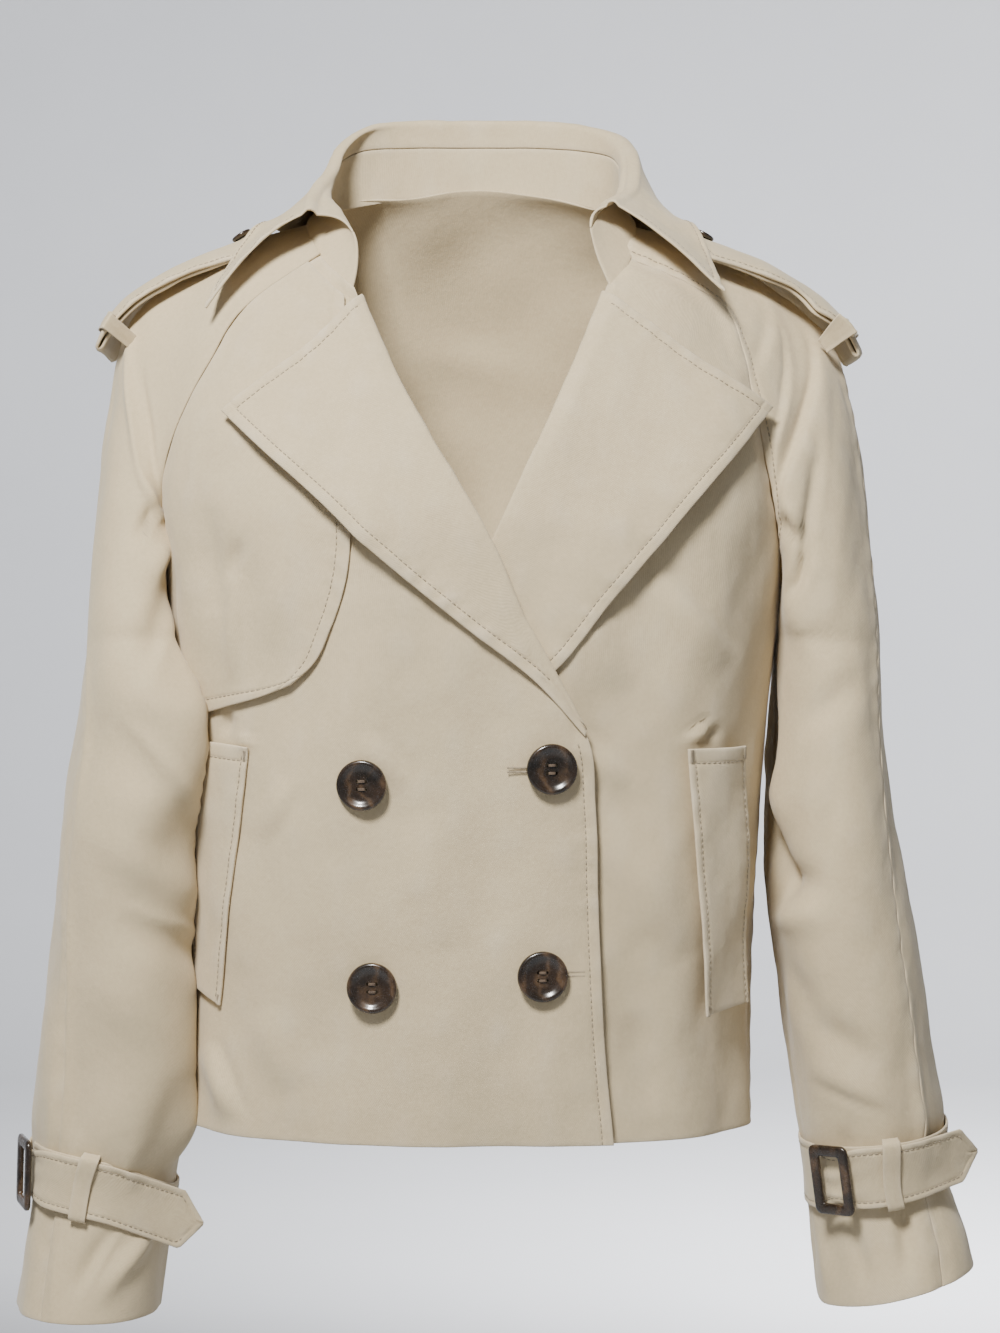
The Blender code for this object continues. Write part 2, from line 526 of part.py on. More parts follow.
def build_welts(cloth):
    for side, corners in (("right", WELT_RIGHT), ("left", WELT_LEFT)):
        a, b, c, d = (np.array(corner, float) for corner in corners)
        s = np.linspace(0, 1, 8)[:, None, None]
        w = np.linspace(0, 1, 4)[None, :, None]
        flat = (a * (1 - w) + b * w) * (1 - s) + (d * (1 - w) + c * w) * s
        x, z = flat[..., 0], flat[..., 1]
        sheet(f"welt_{side}", on_front(x, z, over_front(x, z)), cloth, FRONT)


def collar_rows(side):
    """The collar's table for one side, its front end fitted to that side's neck edge."""
    table = {name: list(values) for name, values in COLLAR.items()}
    if side < 0:
        for name, shifts in COLLAR_RIGHT_SHIFTS.items():
            for i, shift in enumerate(shifts):
                table[name][i] += shift
    return table


def collar_lines(per_side):
    """Neck, stand-top, fold and outer-edge lines, wearer's right front round to the left."""
    lines = {name: [] for name in "nbfeu"}
    for side in (-1, 1):
        table = collar_rows(side)
        s = np.linspace(0, 7, per_side)
        for name in "nbfe":
            axes = [column(table, "s", name + axis, s) for axis in "xyz"]
            line = np.stack([side * axes[0], axes[1], axes[2]], axis=1)
            lines[name].append(line if side < 0 else line[::-1][1:])
        up = column(table, "s", "up", s)[:, None] * np.array([0, 0, 1.0])
        lines["u"].append(up if side < 0 else up[::-1][1:])
    return {name: np.concatenate(two) for name, two in lines.items()}


def collar_section(lines, v):
    """Collar surface: v 0 neck seam, 1 stand top, 2 fold, 3 outer edge."""
    out = []
    n, b, f, e = lines["n"], lines["b"], lines["f"], lines["e"]
    centre = np.array([0.0, 12.0, 0.0])
    away = unit((f - centre) * np.array([1, 1, 0]))
    drop = np.array([0, 0, 3.0])
    inner = f - away * 4.5 - drop
    outer = f + away * 4.5 - drop
    belly = outer + (e - outer) * 0.45 + away * 2 + lines["u"]
    bend = 2 * b - (n + inner) / 2
    for value in v:
        if value <= 1.6:
            k = value / 2 if value <= 1 else 0.5 + (value - 1) / 1.2
            out.append(n * (1 - k) ** 2 + 2 * k * (1 - k) * bend + inner * k * k)
        elif value <= 2:
            k = (value - 1.6) / 0.4
            out.append(inner * (1 - k) ** 2 + 2 * k * (1 - k) * (f - away * 4) + f * k * k)
        elif value <= 2.15:
            k = (value - 2) / 0.15
            out.append(f * (1 - k) ** 2 + 2 * k * (1 - k) * (f + away * 4) + outer * k * k)
        else:
            k = (value - 2.15) / 0.85
            out.append(outer * (1 - k) ** 2 + 2 * k * (1 - k) * belly + e * k * k)
    return np.array(out)


def build_collar(cloth):
    lines = collar_lines(10)
    stand = collar_section(lines, np.linspace(0.05, 0.88, 4))
    sheet("collar_stand", stand, cloth, FRONT)
    leaf = collar_section(lines, [1.06, 1.3, 1.6, 1.8, 2.0, 2.15, 2.35, 2.6, 2.8, 3.0])
    sheet("collar_leaf", leaf, cloth, ABOVE, thick=1.6)


def build_epaulettes(cloth, horn):
    """Shoulder straps: doubled back on themselves at the shoulder tip, with loop and button."""
    for side, sign in (("right", -1), ("left", 1)):
        t = np.linspace(EPAULETTE_T[0], EPAULETTE_T[1], 10)[None, :]
        v = np.array([-1, 0, 1])[:, None]
        pace = np.linalg.norm(
            sleeve_surface(sign, t, -0.12 * v) - sleeve_surface(sign, t, 0), axis=-1) / 0.12
        q = -v * EPAULETTE_W / 2 / np.maximum(pace, 30)
        under = 2.8 + 5.7 * smooth(t, 1.0, 4.6)
        high = under + 2 * EPAULETTE_THICK + 0.8
        low = sleeve_out(sign, t, q, under + 0 * q)
        top = sleeve_out(sign, t, q, high + 0 * q)
        slope = unit(low[:, -1] - low[:, -2])
        turn = (low[:, -1] + top[:, -1]) / 2 + slope * 4.5
        grid = np.concatenate([low, turn[:, None], top[:, ::-1]], axis=1)
        sheet(f"epaulette_{side}", grid, cloth, -ABOVE, EPAULETTE_THICK, (0,) * 4, (0, 2))
        spread = np.array([1.26, 1.24, 1.12, 0.5, 0, -0.5, -1.12, -1.24, -1.26])[None, :]
        h = high[0, 8]
        rise = np.array([1.8, h - 3, h + 2.1, h + 2.2, h + 2.2, h + 2.2, h + 2.1, h - 3, 1.8])[None, :]
        at = t[0, 8] + np.array([[-1.0], [1.0]]) * LOOP_W / 2 / 22
        q_edge = np.where(spread > 0, q[0, 8], -q[2, 8]) * spread
        loop = sleeve_out(sign, at + 0 * spread, q_edge + 0 * at, rise + 0 * at)
        sheet(f"epaulette_loop_{side}", loop, cloth, ABOVE, 1.0, (0,) * 4)
        here = sleeve_out(sign, t[0, 1], 0 * t[0, 1], np.array(high[0, 1] + 0.9))
        above = sleeve_out(sign, t[0, 1], 0 * t[0, 1], np.array(high[0, 1] + 4.0))
        revolve(f"epaulette_button_{side}", button_profile(6.5, 2.6), horn,
                here, above - here, steps=14)


def strap_place(sign, r, drop=0.0):
    """Sleeve t and q of the cuff strap's middle line at turn r, or drop millimetres below."""
    turn = np.mod(r, 1.0)
    q = np.where(turn <= 0.5, 2 * turn, 2 * turn - 2)
    z = column(STRAP_RIGHT if sign < 0 else STRAP_LEFT, "turn", "z", turn) - drop
    rows = SLEEVE_RIGHT if sign < 0 else SLEEVE_LEFT
    return column({"z": rows["oz"], "t": list(range(len(rows["oz"])))}, "z", "t", z), q


def build_cuffs(cloth, horn):
    """Cuff straps round the sleeves, with their carrier loops and plain frame buckles."""
    for side, sign, start, way, tip, free in (("right", -1, 0.06, 1, 0.45, 45.0),
                                              ("left", 1, 0.37, -1, 0.36, 37.0)):
        run = np.concatenate([np.linspace(0, 1, 21), 1 + np.linspace(0, tip, 9)[1:]])
        over = 3.0 + 2.8 * smooth(run, 0.93, 1.0)
        r = start + way * run
        half = STRAP_W / 2 * (1 - 0.22 * np.exp(-((run - 1.01) / 0.035) ** 2))
        v = np.array([-1, 0, 1])[None, :]
        t, q = strap_place(sign, r[:, None] + 0 * v, half[:, None] * v)
        grid = sleeve_out(sign, t, q, over[:, None] + 0 * v)
        ahead = unit(grid[-4] - grid[-5])
        for i, share in ((-3, 0.35), (-2, 0.68), (-1, 1.0)):
            grid[i] = grid[-4] + ahead * free * share
        middle = grid[-1].mean(axis=0)
        grid[-1] = middle + (grid[-1] - middle) * 0.3
        away = sleeve_out(sign, t[:1], q[:1], over[:1, None] + 9 + 0 * v)[0, 1] - grid[0, 1]
        sheet(f"cuff_strap_{side}", grid, cloth, away, 1.3, (0,) * 4, (0, 0))
        drops = np.array([-20.5, -20, -17.5, 0, 17.5, 20, 20.5])[None, :]
        high = np.array([1.8, 3.5, 7.9, 8.0, 7.9, 3.5, 1.8])[None, :]
        wide = np.array([-1, 1])[:, None] * LOOP_W / 2 / 300
        t, q = strap_place(sign, start + way * (1 + tip * 0.36) + wide + 0 * drops, drops + 0 * wide)
        grid = sleeve_out(sign, t, q, high + 0 * wide)
        sheet(f"cuff_loop_{side}", grid, cloth, FRONT, 1.0, (0,) * 4)
        t, q = strap_place(sign, start + way * 1.01, np.array([0, 10.0]))
        here, below = sleeve_out(sign, t, q + 0 * t, np.array([9.8, 9.8]))
        beyond = sleeve_out(sign, t, q + 0 * t, np.array([12.0, 12.0]))[0]
        frame_buckle(f"cuff_buckle_{side}", here, beyond - here, below - here, horn)


def frame_buckle(name, place, normal, down, look):
    """Rectangular frame buckle: a flat ring with Solidify and rounded edges."""
    w, h, bar, deep = BUCKLE
    points, faces = [], []
    for inset, corner in ((0, 3.0), (bar, 1.2)):
        a, b = w / 2 - inset, h / 2 - inset
        for sx, sy in ((1, 1), (-1, 1), (-1, -1), (1, -1)):
            two = [(a * sx, (b - corner) * sy, 0), ((a - corner) * sx, b * sy, 0)]
            points += two if sx * sy > 0 else two[::-1]
    for i in range(8):
        k = (i + 1) % 8
        faces.append((i, k, 8 + k, 8 + i))
    mesh = bpy.data.meshes.new(name)
    mesh.from_pydata([(x * MM, y * MM, z) for x, y, z in points], [], faces)
    mesh.materials.append(look)
    obj = bpy.data.objects.new(name, mesh)
    obj.parent = ROOT
    PARTS.objects.link(obj)
    set_on(obj, place, normal, -down)
    solid = obj.modifiers.new("bars", "SOLIDIFY")
    solid.thickness = deep * MM
    solid.offset = 0
    edges = obj.modifiers.new("edges", "BEVEL")
    edges.width = 1.1 * MM
    edges.segments = 2
    edges.limit_method = "ANGLE"
    edges.angle_limit = math.radians(40)


def set_on(obj, place, normal, upward):
    """Puts an object's origin at place, its Z along normal and its Y nearest to upward."""
    z = unit(np.asarray(normal, float))
    y = unit(upward - z * (upward * z).sum())
    turn = Matrix(np.stack([np.cross(y, z), y, z], axis=1).tolist())
    obj.location = place * MM
    obj.rotation_euler = turn.to_euler()


def revolve(name, profile, look, place, normal, steps=20):
    """A turned piece: (radius, height) profile with a Screw, set on a surface point."""
    mesh = bpy.data.meshes.new(name)
    points = [(r * MM, 0, h * MM) for r, h in profile]
    mesh.from_pydata(points, [(i, i + 1) for i in range(len(points) - 1)], [])
    mesh.materials.append(look)
    obj = bpy.data.objects.new(name, mesh)
    screw = obj.modifiers.new("turn", "SCREW")
    screw.steps = screw.render_steps = steps
    screw.use_merge_vertices = True
    screw.merge_threshold = 0.00005
    screw.use_smooth_shade = True
    obj.parent = ROOT
    PARTS.objects.link(obj)
    set_on(obj, place, normal, np.array([0, 0, 1.0]) if abs(normal[2]) < 0.8 else np.array([0, 1.0, 0]))
    return obj


def button_profile(r, thick=4.6):
    """Dished horn button: rim, dish and flat back, listed down its outer side."""
    return [(0, 0.57 * thick), (0.5 * r, 0.57 * thick), (0.68 * r, 0.7 * thick),
            (0.8 * r, 0.97 * thick), (0.9 * r, thick), (r, 0.75 * thick), (r, 0.35 * thick),
            (0.8 * r, 0), (0, 0)]


def build_buttons(horn):
    """Front buttons: turned, then four thread holes cut through."""
    for name, (x, z) in BUTTONS.items():
        on = layer_right(np.array(x, float), np.array(z, float))
        here = on_front(x, z, on + 0.6)
        above = on_front(x, z, on + 5.0)
        button = revolve(name, button_profile(BUTTON_R), horn, here, above - here)
        turn = button.rotation_euler.to_matrix()
        for i in range(4):
            angle = math.pi / 4 + i * math.pi / 2
            spot = Vector((math.cos(angle), math.sin(angle), 0)) * 3.1 + Vector((0, 0, 2))
            bpy.ops.mesh.primitive_cylinder_add(vertices=8, radius=1.05 * MM, depth=12 * MM)
            cutter = bpy.context.object
            cutter.name = f"{name}_hole_{i}"
            cutter.location = Vector(here * MM) + turn @ spot * MM
            cutter.rotation_euler = button.rotation_euler
            cutter.hide_render = True
            cutter.display_type = "WIRE"
            for collection in list(cutter.users_collection):
                collection.objects.unlink(cutter)
            CUTTERS.objects.link(cutter)
            cut = button.modifiers.new(f"hole_{i}", "BOOLEAN")
            cut.operation = "DIFFERENCE"
            cut.object = cutter


for old in list(bpy.data.objects):
    bpy.data.objects.remove(old, do_unlink=True)
PARTS = bpy.data.collections.new("cropped_trench_coat")
CUTTERS = bpy.data.collections.new("cutters")
bpy.context.scene.collection.children.link(PARTS)
bpy.context.scene.collection.children.link(CUTTERS)
ROOT = bpy.data.objects.new("coat_origin", None)
PARTS.objects.link(ROOT)
CLOTH_LOOK = material("stone_twill", (0.55, 0.45, 0.36), 0.85)
HORN_LOOK = material("dark_horn", (0.03, 0.018, 0.012), 0.2)

build_fronts(CLOTH_LOOK)
build_back(CLOTH_LOOK)
build_sleeves(CLOTH_LOOK)
build_lapels(CLOTH_LOOK)
build_flap(CLOTH_LOOK)
build_welts(CLOTH_LOOK)
build_collar(CLOTH_LOOK)
build_epaulettes(CLOTH_LOOK, HORN_LOOK)
build_cuffs(CLOTH_LOOK, HORN_LOOK)
build_buttons(HORN_LOOK)
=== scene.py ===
"""Looks of the cropped trench coat: cloth shells, stitching, buttons, buckles and finishes.

Lengths are millimetres in the coat's frame: +X is the wearer's left, +Z is up, the front
faces -Y and the origin is the centre of the neck hole. The cloth is cut as in the solids:
the fronts and the back lie on one surface of oval rings, and each sleeve is a loft from the
shoulder ridge to the raglan seam, then round the arm. "right" is the wearer's right.
"""

import logging
import math
from collections.abc import Callable, Sequence
from dataclasses import dataclass, field
from enum import Enum
from functools import cache
from typing import NamedTuple

import bpy
import numpy as np
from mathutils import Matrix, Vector


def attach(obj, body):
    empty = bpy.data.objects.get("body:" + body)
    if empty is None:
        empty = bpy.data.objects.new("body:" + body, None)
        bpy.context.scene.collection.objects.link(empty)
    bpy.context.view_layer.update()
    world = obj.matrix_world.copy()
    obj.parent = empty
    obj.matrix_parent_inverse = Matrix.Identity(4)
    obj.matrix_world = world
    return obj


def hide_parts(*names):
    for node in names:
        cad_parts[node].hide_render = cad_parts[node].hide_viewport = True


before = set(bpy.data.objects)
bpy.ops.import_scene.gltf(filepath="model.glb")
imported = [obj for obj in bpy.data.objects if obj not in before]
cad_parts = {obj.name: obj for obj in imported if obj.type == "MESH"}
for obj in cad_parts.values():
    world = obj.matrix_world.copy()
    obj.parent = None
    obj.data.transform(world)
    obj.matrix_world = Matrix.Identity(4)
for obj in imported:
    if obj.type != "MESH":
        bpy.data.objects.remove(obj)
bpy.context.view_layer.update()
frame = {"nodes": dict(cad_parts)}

LOG = logging.getLogger("coat")
MM = 0.001
Grid = np.ndarray
Rgba = tuple[float, float, float, float]
Corners = tuple[tuple[float, float], ...]

CLOTH = 1.4                # doubled coat cloth
HEM_Z = -529.0
UNDERARM_Z = -243.0
SEAM_LOW_Z = -176.0        # below here the raglan seams run evenly round to the side seam
SEAM_END = 11.0            # sleeve station at the underarm
SIDE_V = 0.56              # share of a side that is below the underarm
CUFF = 22.0                # sleeve station at the cuff
STATION_MM, TURN_MM = 30.0, 135.0    # rough cloth length of one station and of one turn
PLAIN = (0.0, 0.2, 0.7)                                      # grid lines at a plain edge
STITCHED = (0.0, 0.2, 0.7, 2.0, 3.6, 5.0, 5.9, 6.6, 7.3, 8.6, 10.6)
NARROW = (0.0, 0.2, 0.7, 1.8, 2.8, 3.4, 4.0, 4.6, 5.6, 7.2)
WIDE = (0.0, 0.2, 0.7, 2.4, 4.6, 6.6, 7.6, 8.3, 9.0, 10.4, 12.6)
SEAM = PLAIN + (3.0, 6.0)


@dataclass(frozen=True)
class Table:
    """Named columns over one key column, each read as a smooth curve."""

    key: str
    columns: dict[str, Sequence[float]]

    def at(self, name: str, where: Grid | float) -> Grid:
        """Value of one column at places along the key column.

        Args:
            name: the column.
            where: values of the key column.

        Returns:
            The column's value at each place, held at its ends.
        """
        xs = np.asarray(self.columns[self.key], float)
        ys = np.asarray(self.columns[name], float)
        if xs[0] > xs[-1]:
            xs, ys = xs[::-1], ys[::-1]
        at = np.clip(np.asarray(where, float), xs[0], xs[-1])
        step = np.diff(xs)
        slope = np.diff(ys) / step
        tangent = np.empty(len(xs))
        tangent[1:-1] = (slope[:-1] * step[1:] + slope[1:] * step[:-1]) / (step[1:] + step[:-1])
        tangent[1:-1][slope[:-1] * slope[1:] <= 0] = 0
        tangent[0], tangent[-1] = slope[0], slope[-1]
        i = np.clip(np.searchsorted(xs, at, side="right") - 1, 0, len(step) - 1)
        h = step[i]
        s = (at - xs[i]) / h
        low = ys[i] * (1 + 2 * s) * (1 - s) ** 2 + tangent[i] * h * s * (1 - s) ** 2
        return low + ys[i + 1] * s * s * (3 - 2 * s) + tangent[i + 1] * h * s * s * (s - 1)


class Fold(NamedTuple):
    """A soft ridge, or a trough if high is negative, from (a0, b0) to (a1, b1).

    wide is its half width, and tuck the depth of a sharper valley along its left side.
    """

    a0: float
    b0: float
    a1: float
    b1: float
    high: float
    wide: float
    tuck: float = 0.0


def folds(*rows: tuple[float, ...]) -> tuple[Fold, ...]:
    """Folds from rows of their fields."""
    return tuple(Fold(*row) for row in rows)


def smooth(v: Grid | float, low: Grid | float, high: Grid | float) -> Grid:
    """Smooth step from 0 at low to 1 at high."""
    s = np.clip((np.asarray(v, float) - low) / (high - low), 0, 1)
    return s * s * (3 - 2 * s)


def power(v: Grid, e: float) -> Grid:
    """Power that keeps the sign."""
    return np.sign(v) * np.abs(v) ** e


def unit(v: Grid) -> Grid:
    """Vectors at length 1."""
    return v / np.maximum(np.linalg.norm(v, axis=-1, keepdims=True), 1e-9)


def fold_height(folds: Sequence[Fold], a: Grid, b: Grid, ends: float = 0.12) -> Grid:
    """Height of a set of folds.

    Args:
        folds: the folds, in the same units as a and b.
        a: first coordinate of each point.
        b: second coordinate of each point.
        ends: share of its height that a fold keeps at its ends.

    Returns:
        The height at each point.
    """
    total = np.zeros(np.broadcast_shapes(np.shape(a), np.shape(b)))
    for fold in folds:
        da, db = fold.a1 - fold.a0, fold.b1 - fold.b0
        length = math.hypot(da, db)
        x, y = a - fold.a0, b - fold.b0
        along = np.clip((x * da + y * db) / length ** 2, 0, 1)
        near = np.hypot(x - da * along, y - db * along)
        swell = np.sin(math.pi * along)
        total += fold.high * np.exp(-(near / fold.wide) ** 2) * (ends + (1 - ends) * swell)
        if fold.tuck:
            side = (x * db - y * da) / length
            valley = np.exp(-((side + 0.95 * fold.wide) / (0.35 * fold.wide)) ** 2)
            total -= fold.tuck * valley * swell ** 0.7 * np.exp(-(near / (2.2 * fold.wide)) ** 6)
    return total


def waves(count: int, short: float, long: float, high: float, seed: int) -> list[tuple]:
    """Seeded sine waves in space: direction with wave number, phase and height.

    Args:
        count: how many waves.
        short: shortest wavelength.
        long: longest wavelength.
        high: height of the longest one.
        seed: seed of the draw.

    Returns:
        A list of (wave vector, phase, height).
    """
    draw = np.random.default_rng(seed)
    out = []
    for length in np.geomspace(short, long, count):
        way = unit(draw.normal(size=3) * np.array([1.0, 1.0, 0.45])) * 2 * math.pi / length
        out.append((way, draw.uniform(0, 6.28), high * (length / long) ** 0.8))
    return out


SOFT_WAVES = waves(11, 34.0, 170.0, 1.15, 11)
FINE_WAVES = waves(12, 9.0, 30.0, 0.085, 5)


def sway(p: Grid, kinds: list[tuple]) -> Grid:
    """Unevenness of hanging cloth, the same for every piece at one place.

    Args:
        p: points.
        kinds: waves as made by waves().

    Returns:
        The height at each point.
    """
    total = np.zeros(p.shape[:-1])
    for way, phase, high in kinds:
        total += high * np.sin(p @ way + phase)
    return total


@dataclass(frozen=True)
class BodyCut:
    """Body surface of the coat, on which the fronts, the back and what lies on them are cut."""

    waist_y: float = 5.0
    oval: float = 0.8
    rings: Table = Table("z", {
        "z": [-545, -450, -350, -250, -190, -150, -121, -100, -80, -57, -41, -19, 3, 22, 38],
        "half": [167.5, 168, 172.5, 181, 187, 190, 189, 186, 181, 172, 160, 150, 124, 97, 60],
        "front": [116, 118, 121, 126, 127, 119, 110, 101, 91, 78, 67.5, 46, 30, 22, 18],
        "rear": [116, 111, 107, 110, 114, 115, 114, 113, 110, 107, 104, 98, 90, 80, 70]})
    seam_right: Table = Table("z", {
        "z": [-20, -57, -85, -103, -130, -151, -180, -210],
        "x": [88, 134, 150, 160, 172, 178, 181, 183]})
    seam_left: Table = Table("z", {
        "z": [-20, -47, -75, -101, -130, -153, -178, -211],
        "x": [88, 144, 158, 163, 168, 172, 177, 181]})
    seam_back: Table = Table("z", {
        "z": [22, -20, -60, -100, -150, -200],
        "x": [86, 112, 132, 148, 162, 176]})
    edge_right: Table = Table("z", {
        "z": [-529, -450, -390, -340, -305, -264, -233, -194, -152, -100, -60, -43],
        "x": [79, 73, 71, 69.5, 66, 46, 29, 12, -13, -42, -60, -67]})
    edge_left: Table = Table("z", {
        "z": [-529, -450, -390, -340, -305, -253, -223, -194, -152, -122, -80, -41],
        "x": [-50, -50, -49, -49, -48, -18, -3, 12, 32, 46, 64, 79]})
    drapes: tuple[tuple[float, ...], ...] = (
        (44, 27, -250, 2.2, 9), (-40, -31, -300, 2.0, 9), (72, 66, -380, 3.0, 9),
        (-78, -70, -380, 3.2, 10), (112, 118, -150, 3.6, 11), (148, 158, -120, 3.8, 11),
        (186, 180, -180, 2.8, 11), (222, 205, -150, 3.8, 11), (254, 240, -120, 3.6, 11))

    def angle_at(self, x: Grid, z: Grid) -> Grid:
        """Angle on the front of the ring at height z, for a distance x from the centre."""
        share = power(x / self.rings.at("half", z), 1 / self.oval)
        return np.arcsin(np.clip(share, -1, 1))

    def seam_angle(self, seam: Table, z: Grid) -> Grid:
        """Angle of a raglan seam.

        Args:
            seam: the seam's distances by height.
            z: heights.

        Returns:
            The angle from the table, then evenly round to the side at the underarm.
        """
        above = np.maximum(z, SEAM_LOW_Z)
        angle = self.angle_at(seam.at("x", above), above)
        low = np.clip((SEAM_LOW_Z - z) / (SEAM_LOW_Z - UNDERARM_Z), 0, 1)
        return angle * (1 - low) + math.pi / 2 * low

    def drape(self, angle: Grid, z: Grid) -> Grid:
        """Height of the body's soft folds.

        Args:
            angle: angle round the body, 0 at centre front.
            z: heights.

        Returns:
            The height at each point.
        """
        total = np.zeros(np.shape(angle))
        for hem, top, high_z, high, wide in self.drapes:
            share = np.clip((z - HEM_Z) / (high_z - HEM_Z), 0, 1)
            middle = math.radians(hem) * (1 - share) + math.radians(top) * share
            off = np.mod(angle - middle + math.pi, 2 * math.pi) - math.pi
            total += high * (1 - smooth(share, 0.35, 1)) * np.exp(-(off / math.radians(wide)) ** 2)
        return total

    def place(self, angle: Grid, z: Grid, out: Grid | float = 0.0) -> Grid:
        """Points of the body surface.

        Args:
            angle: 0 at centre front, +90 degrees at the wearer's left side.
            z: heights.
            out: distance off the surface.

        Returns:
            One point for each angle and height.
        """
        angle, z = np.broadcast_arrays(np.asarray(angle, float), np.asarray(z, float))

        def ring(a: Grid, h: Grid) -> Grid:
            """Point of the ring at one height."""
            cos = np.cos(a)
            depth = np.where(cos > 0, self.rings.at("front", h), self.rings.at("rear", h))
            x = self.rings.at("half", h) * power(np.sin(a), self.oval)
            return np.stack([x, self.waist_y - depth * power(cos, self.oval), h], axis=-1)

        along = ring(angle + 0.02, z) - ring(angle - 0.02, z)
        up = ring(angle, z + 3) - ring(angle, z - 3)
        lift = self.drape(angle, z) + np.asarray(out, float)
        return ring(angle, z) + unit(np.cross(along, up)) * lift[..., None]

    def on_front(self, x: Grid, z: Grid, out: Grid | float = 0.0) -> Grid:
        """Points of the front at a distance x from the centre."""
        return self.place(self.angle_at(np.asarray(x, float), np.asarray(z, float)), z, out)

    def layer_right(self, x: Grid, z: Grid) -> Grid:
        """Height of the overlapping front's outside over the body surface."""
        edge = self.edge_left.at("x", z)
        return 6.0 * smooth(x, np.minimum(edge - 80, -78), np.minimum(edge - 14, -14))

    def over_front(self, x: Grid, z: Grid) -> Grid:
        """Outside height of a piece laid on the wearer's right front."""
        edge = smooth(np.abs(x), 128, 158) + smooth(z, -75, -45)
        return self.layer_right(x, z) + CLOTH + 0.7 + 1.0 * edge

    def side_line(self, sleeve: "SleeveCut", v: Grid) -> tuple[Grid, Grid]:
        """Side of a front: up the side seam from the hem, then up the raglan seam.

        Args:
            sleeve: the sleeve on that side.
            v: 0 at the hem, SIDE_V at the underarm, 1 at the neck.

        Returns:
            Angles and heights.
        """
        below, low, t = climb(v)
        z = np.where(below, low, sleeve.rows.at("uz", t))
        angle = np.where(below, math.pi / 2, self.seam_angle(sleeve.seam(), z))
        return sleeve.sign * angle, z

    def edge_line(self, edge: Table, v: Grid) -> tuple[Grid, Grid]:
        """Front edge from the hem (v 0) to the neck (v 1), as angles and heights."""
        first, last = edge.columns["z"][0], edge.columns["z"][-1]
        z = first + (last - first) * v
        return self.angle_at(edge.at("x", z), z), z

    def back_line(self, t: Grid) -> tuple[Grid, Grid]:
        """Back raglan seam at sleeve station t, as angle and height on the wearer's left."""
        down = np.clip(np.asarray(t, float) / SEAM_END, 0, 1)
        z = 22.0 + (UNDERARM_Z - 22.0) * down
        return math.pi - self.seam_angle(self.seam_back, z), z


def climb(v: Grid) -> tuple[Grid, Grid, Grid]:
    """Up a side: whether v is below the underarm, the height there and the station above."""
    low = HEM_Z + (UNDERARM_Z - HEM_Z) * np.clip(v / SIDE_V, 0, 1)
    return v < SIDE_V, low, SEAM_END * (1 - np.clip((v - SIDE_V) / 0.44, 0, 1))


BODY = BodyCut()


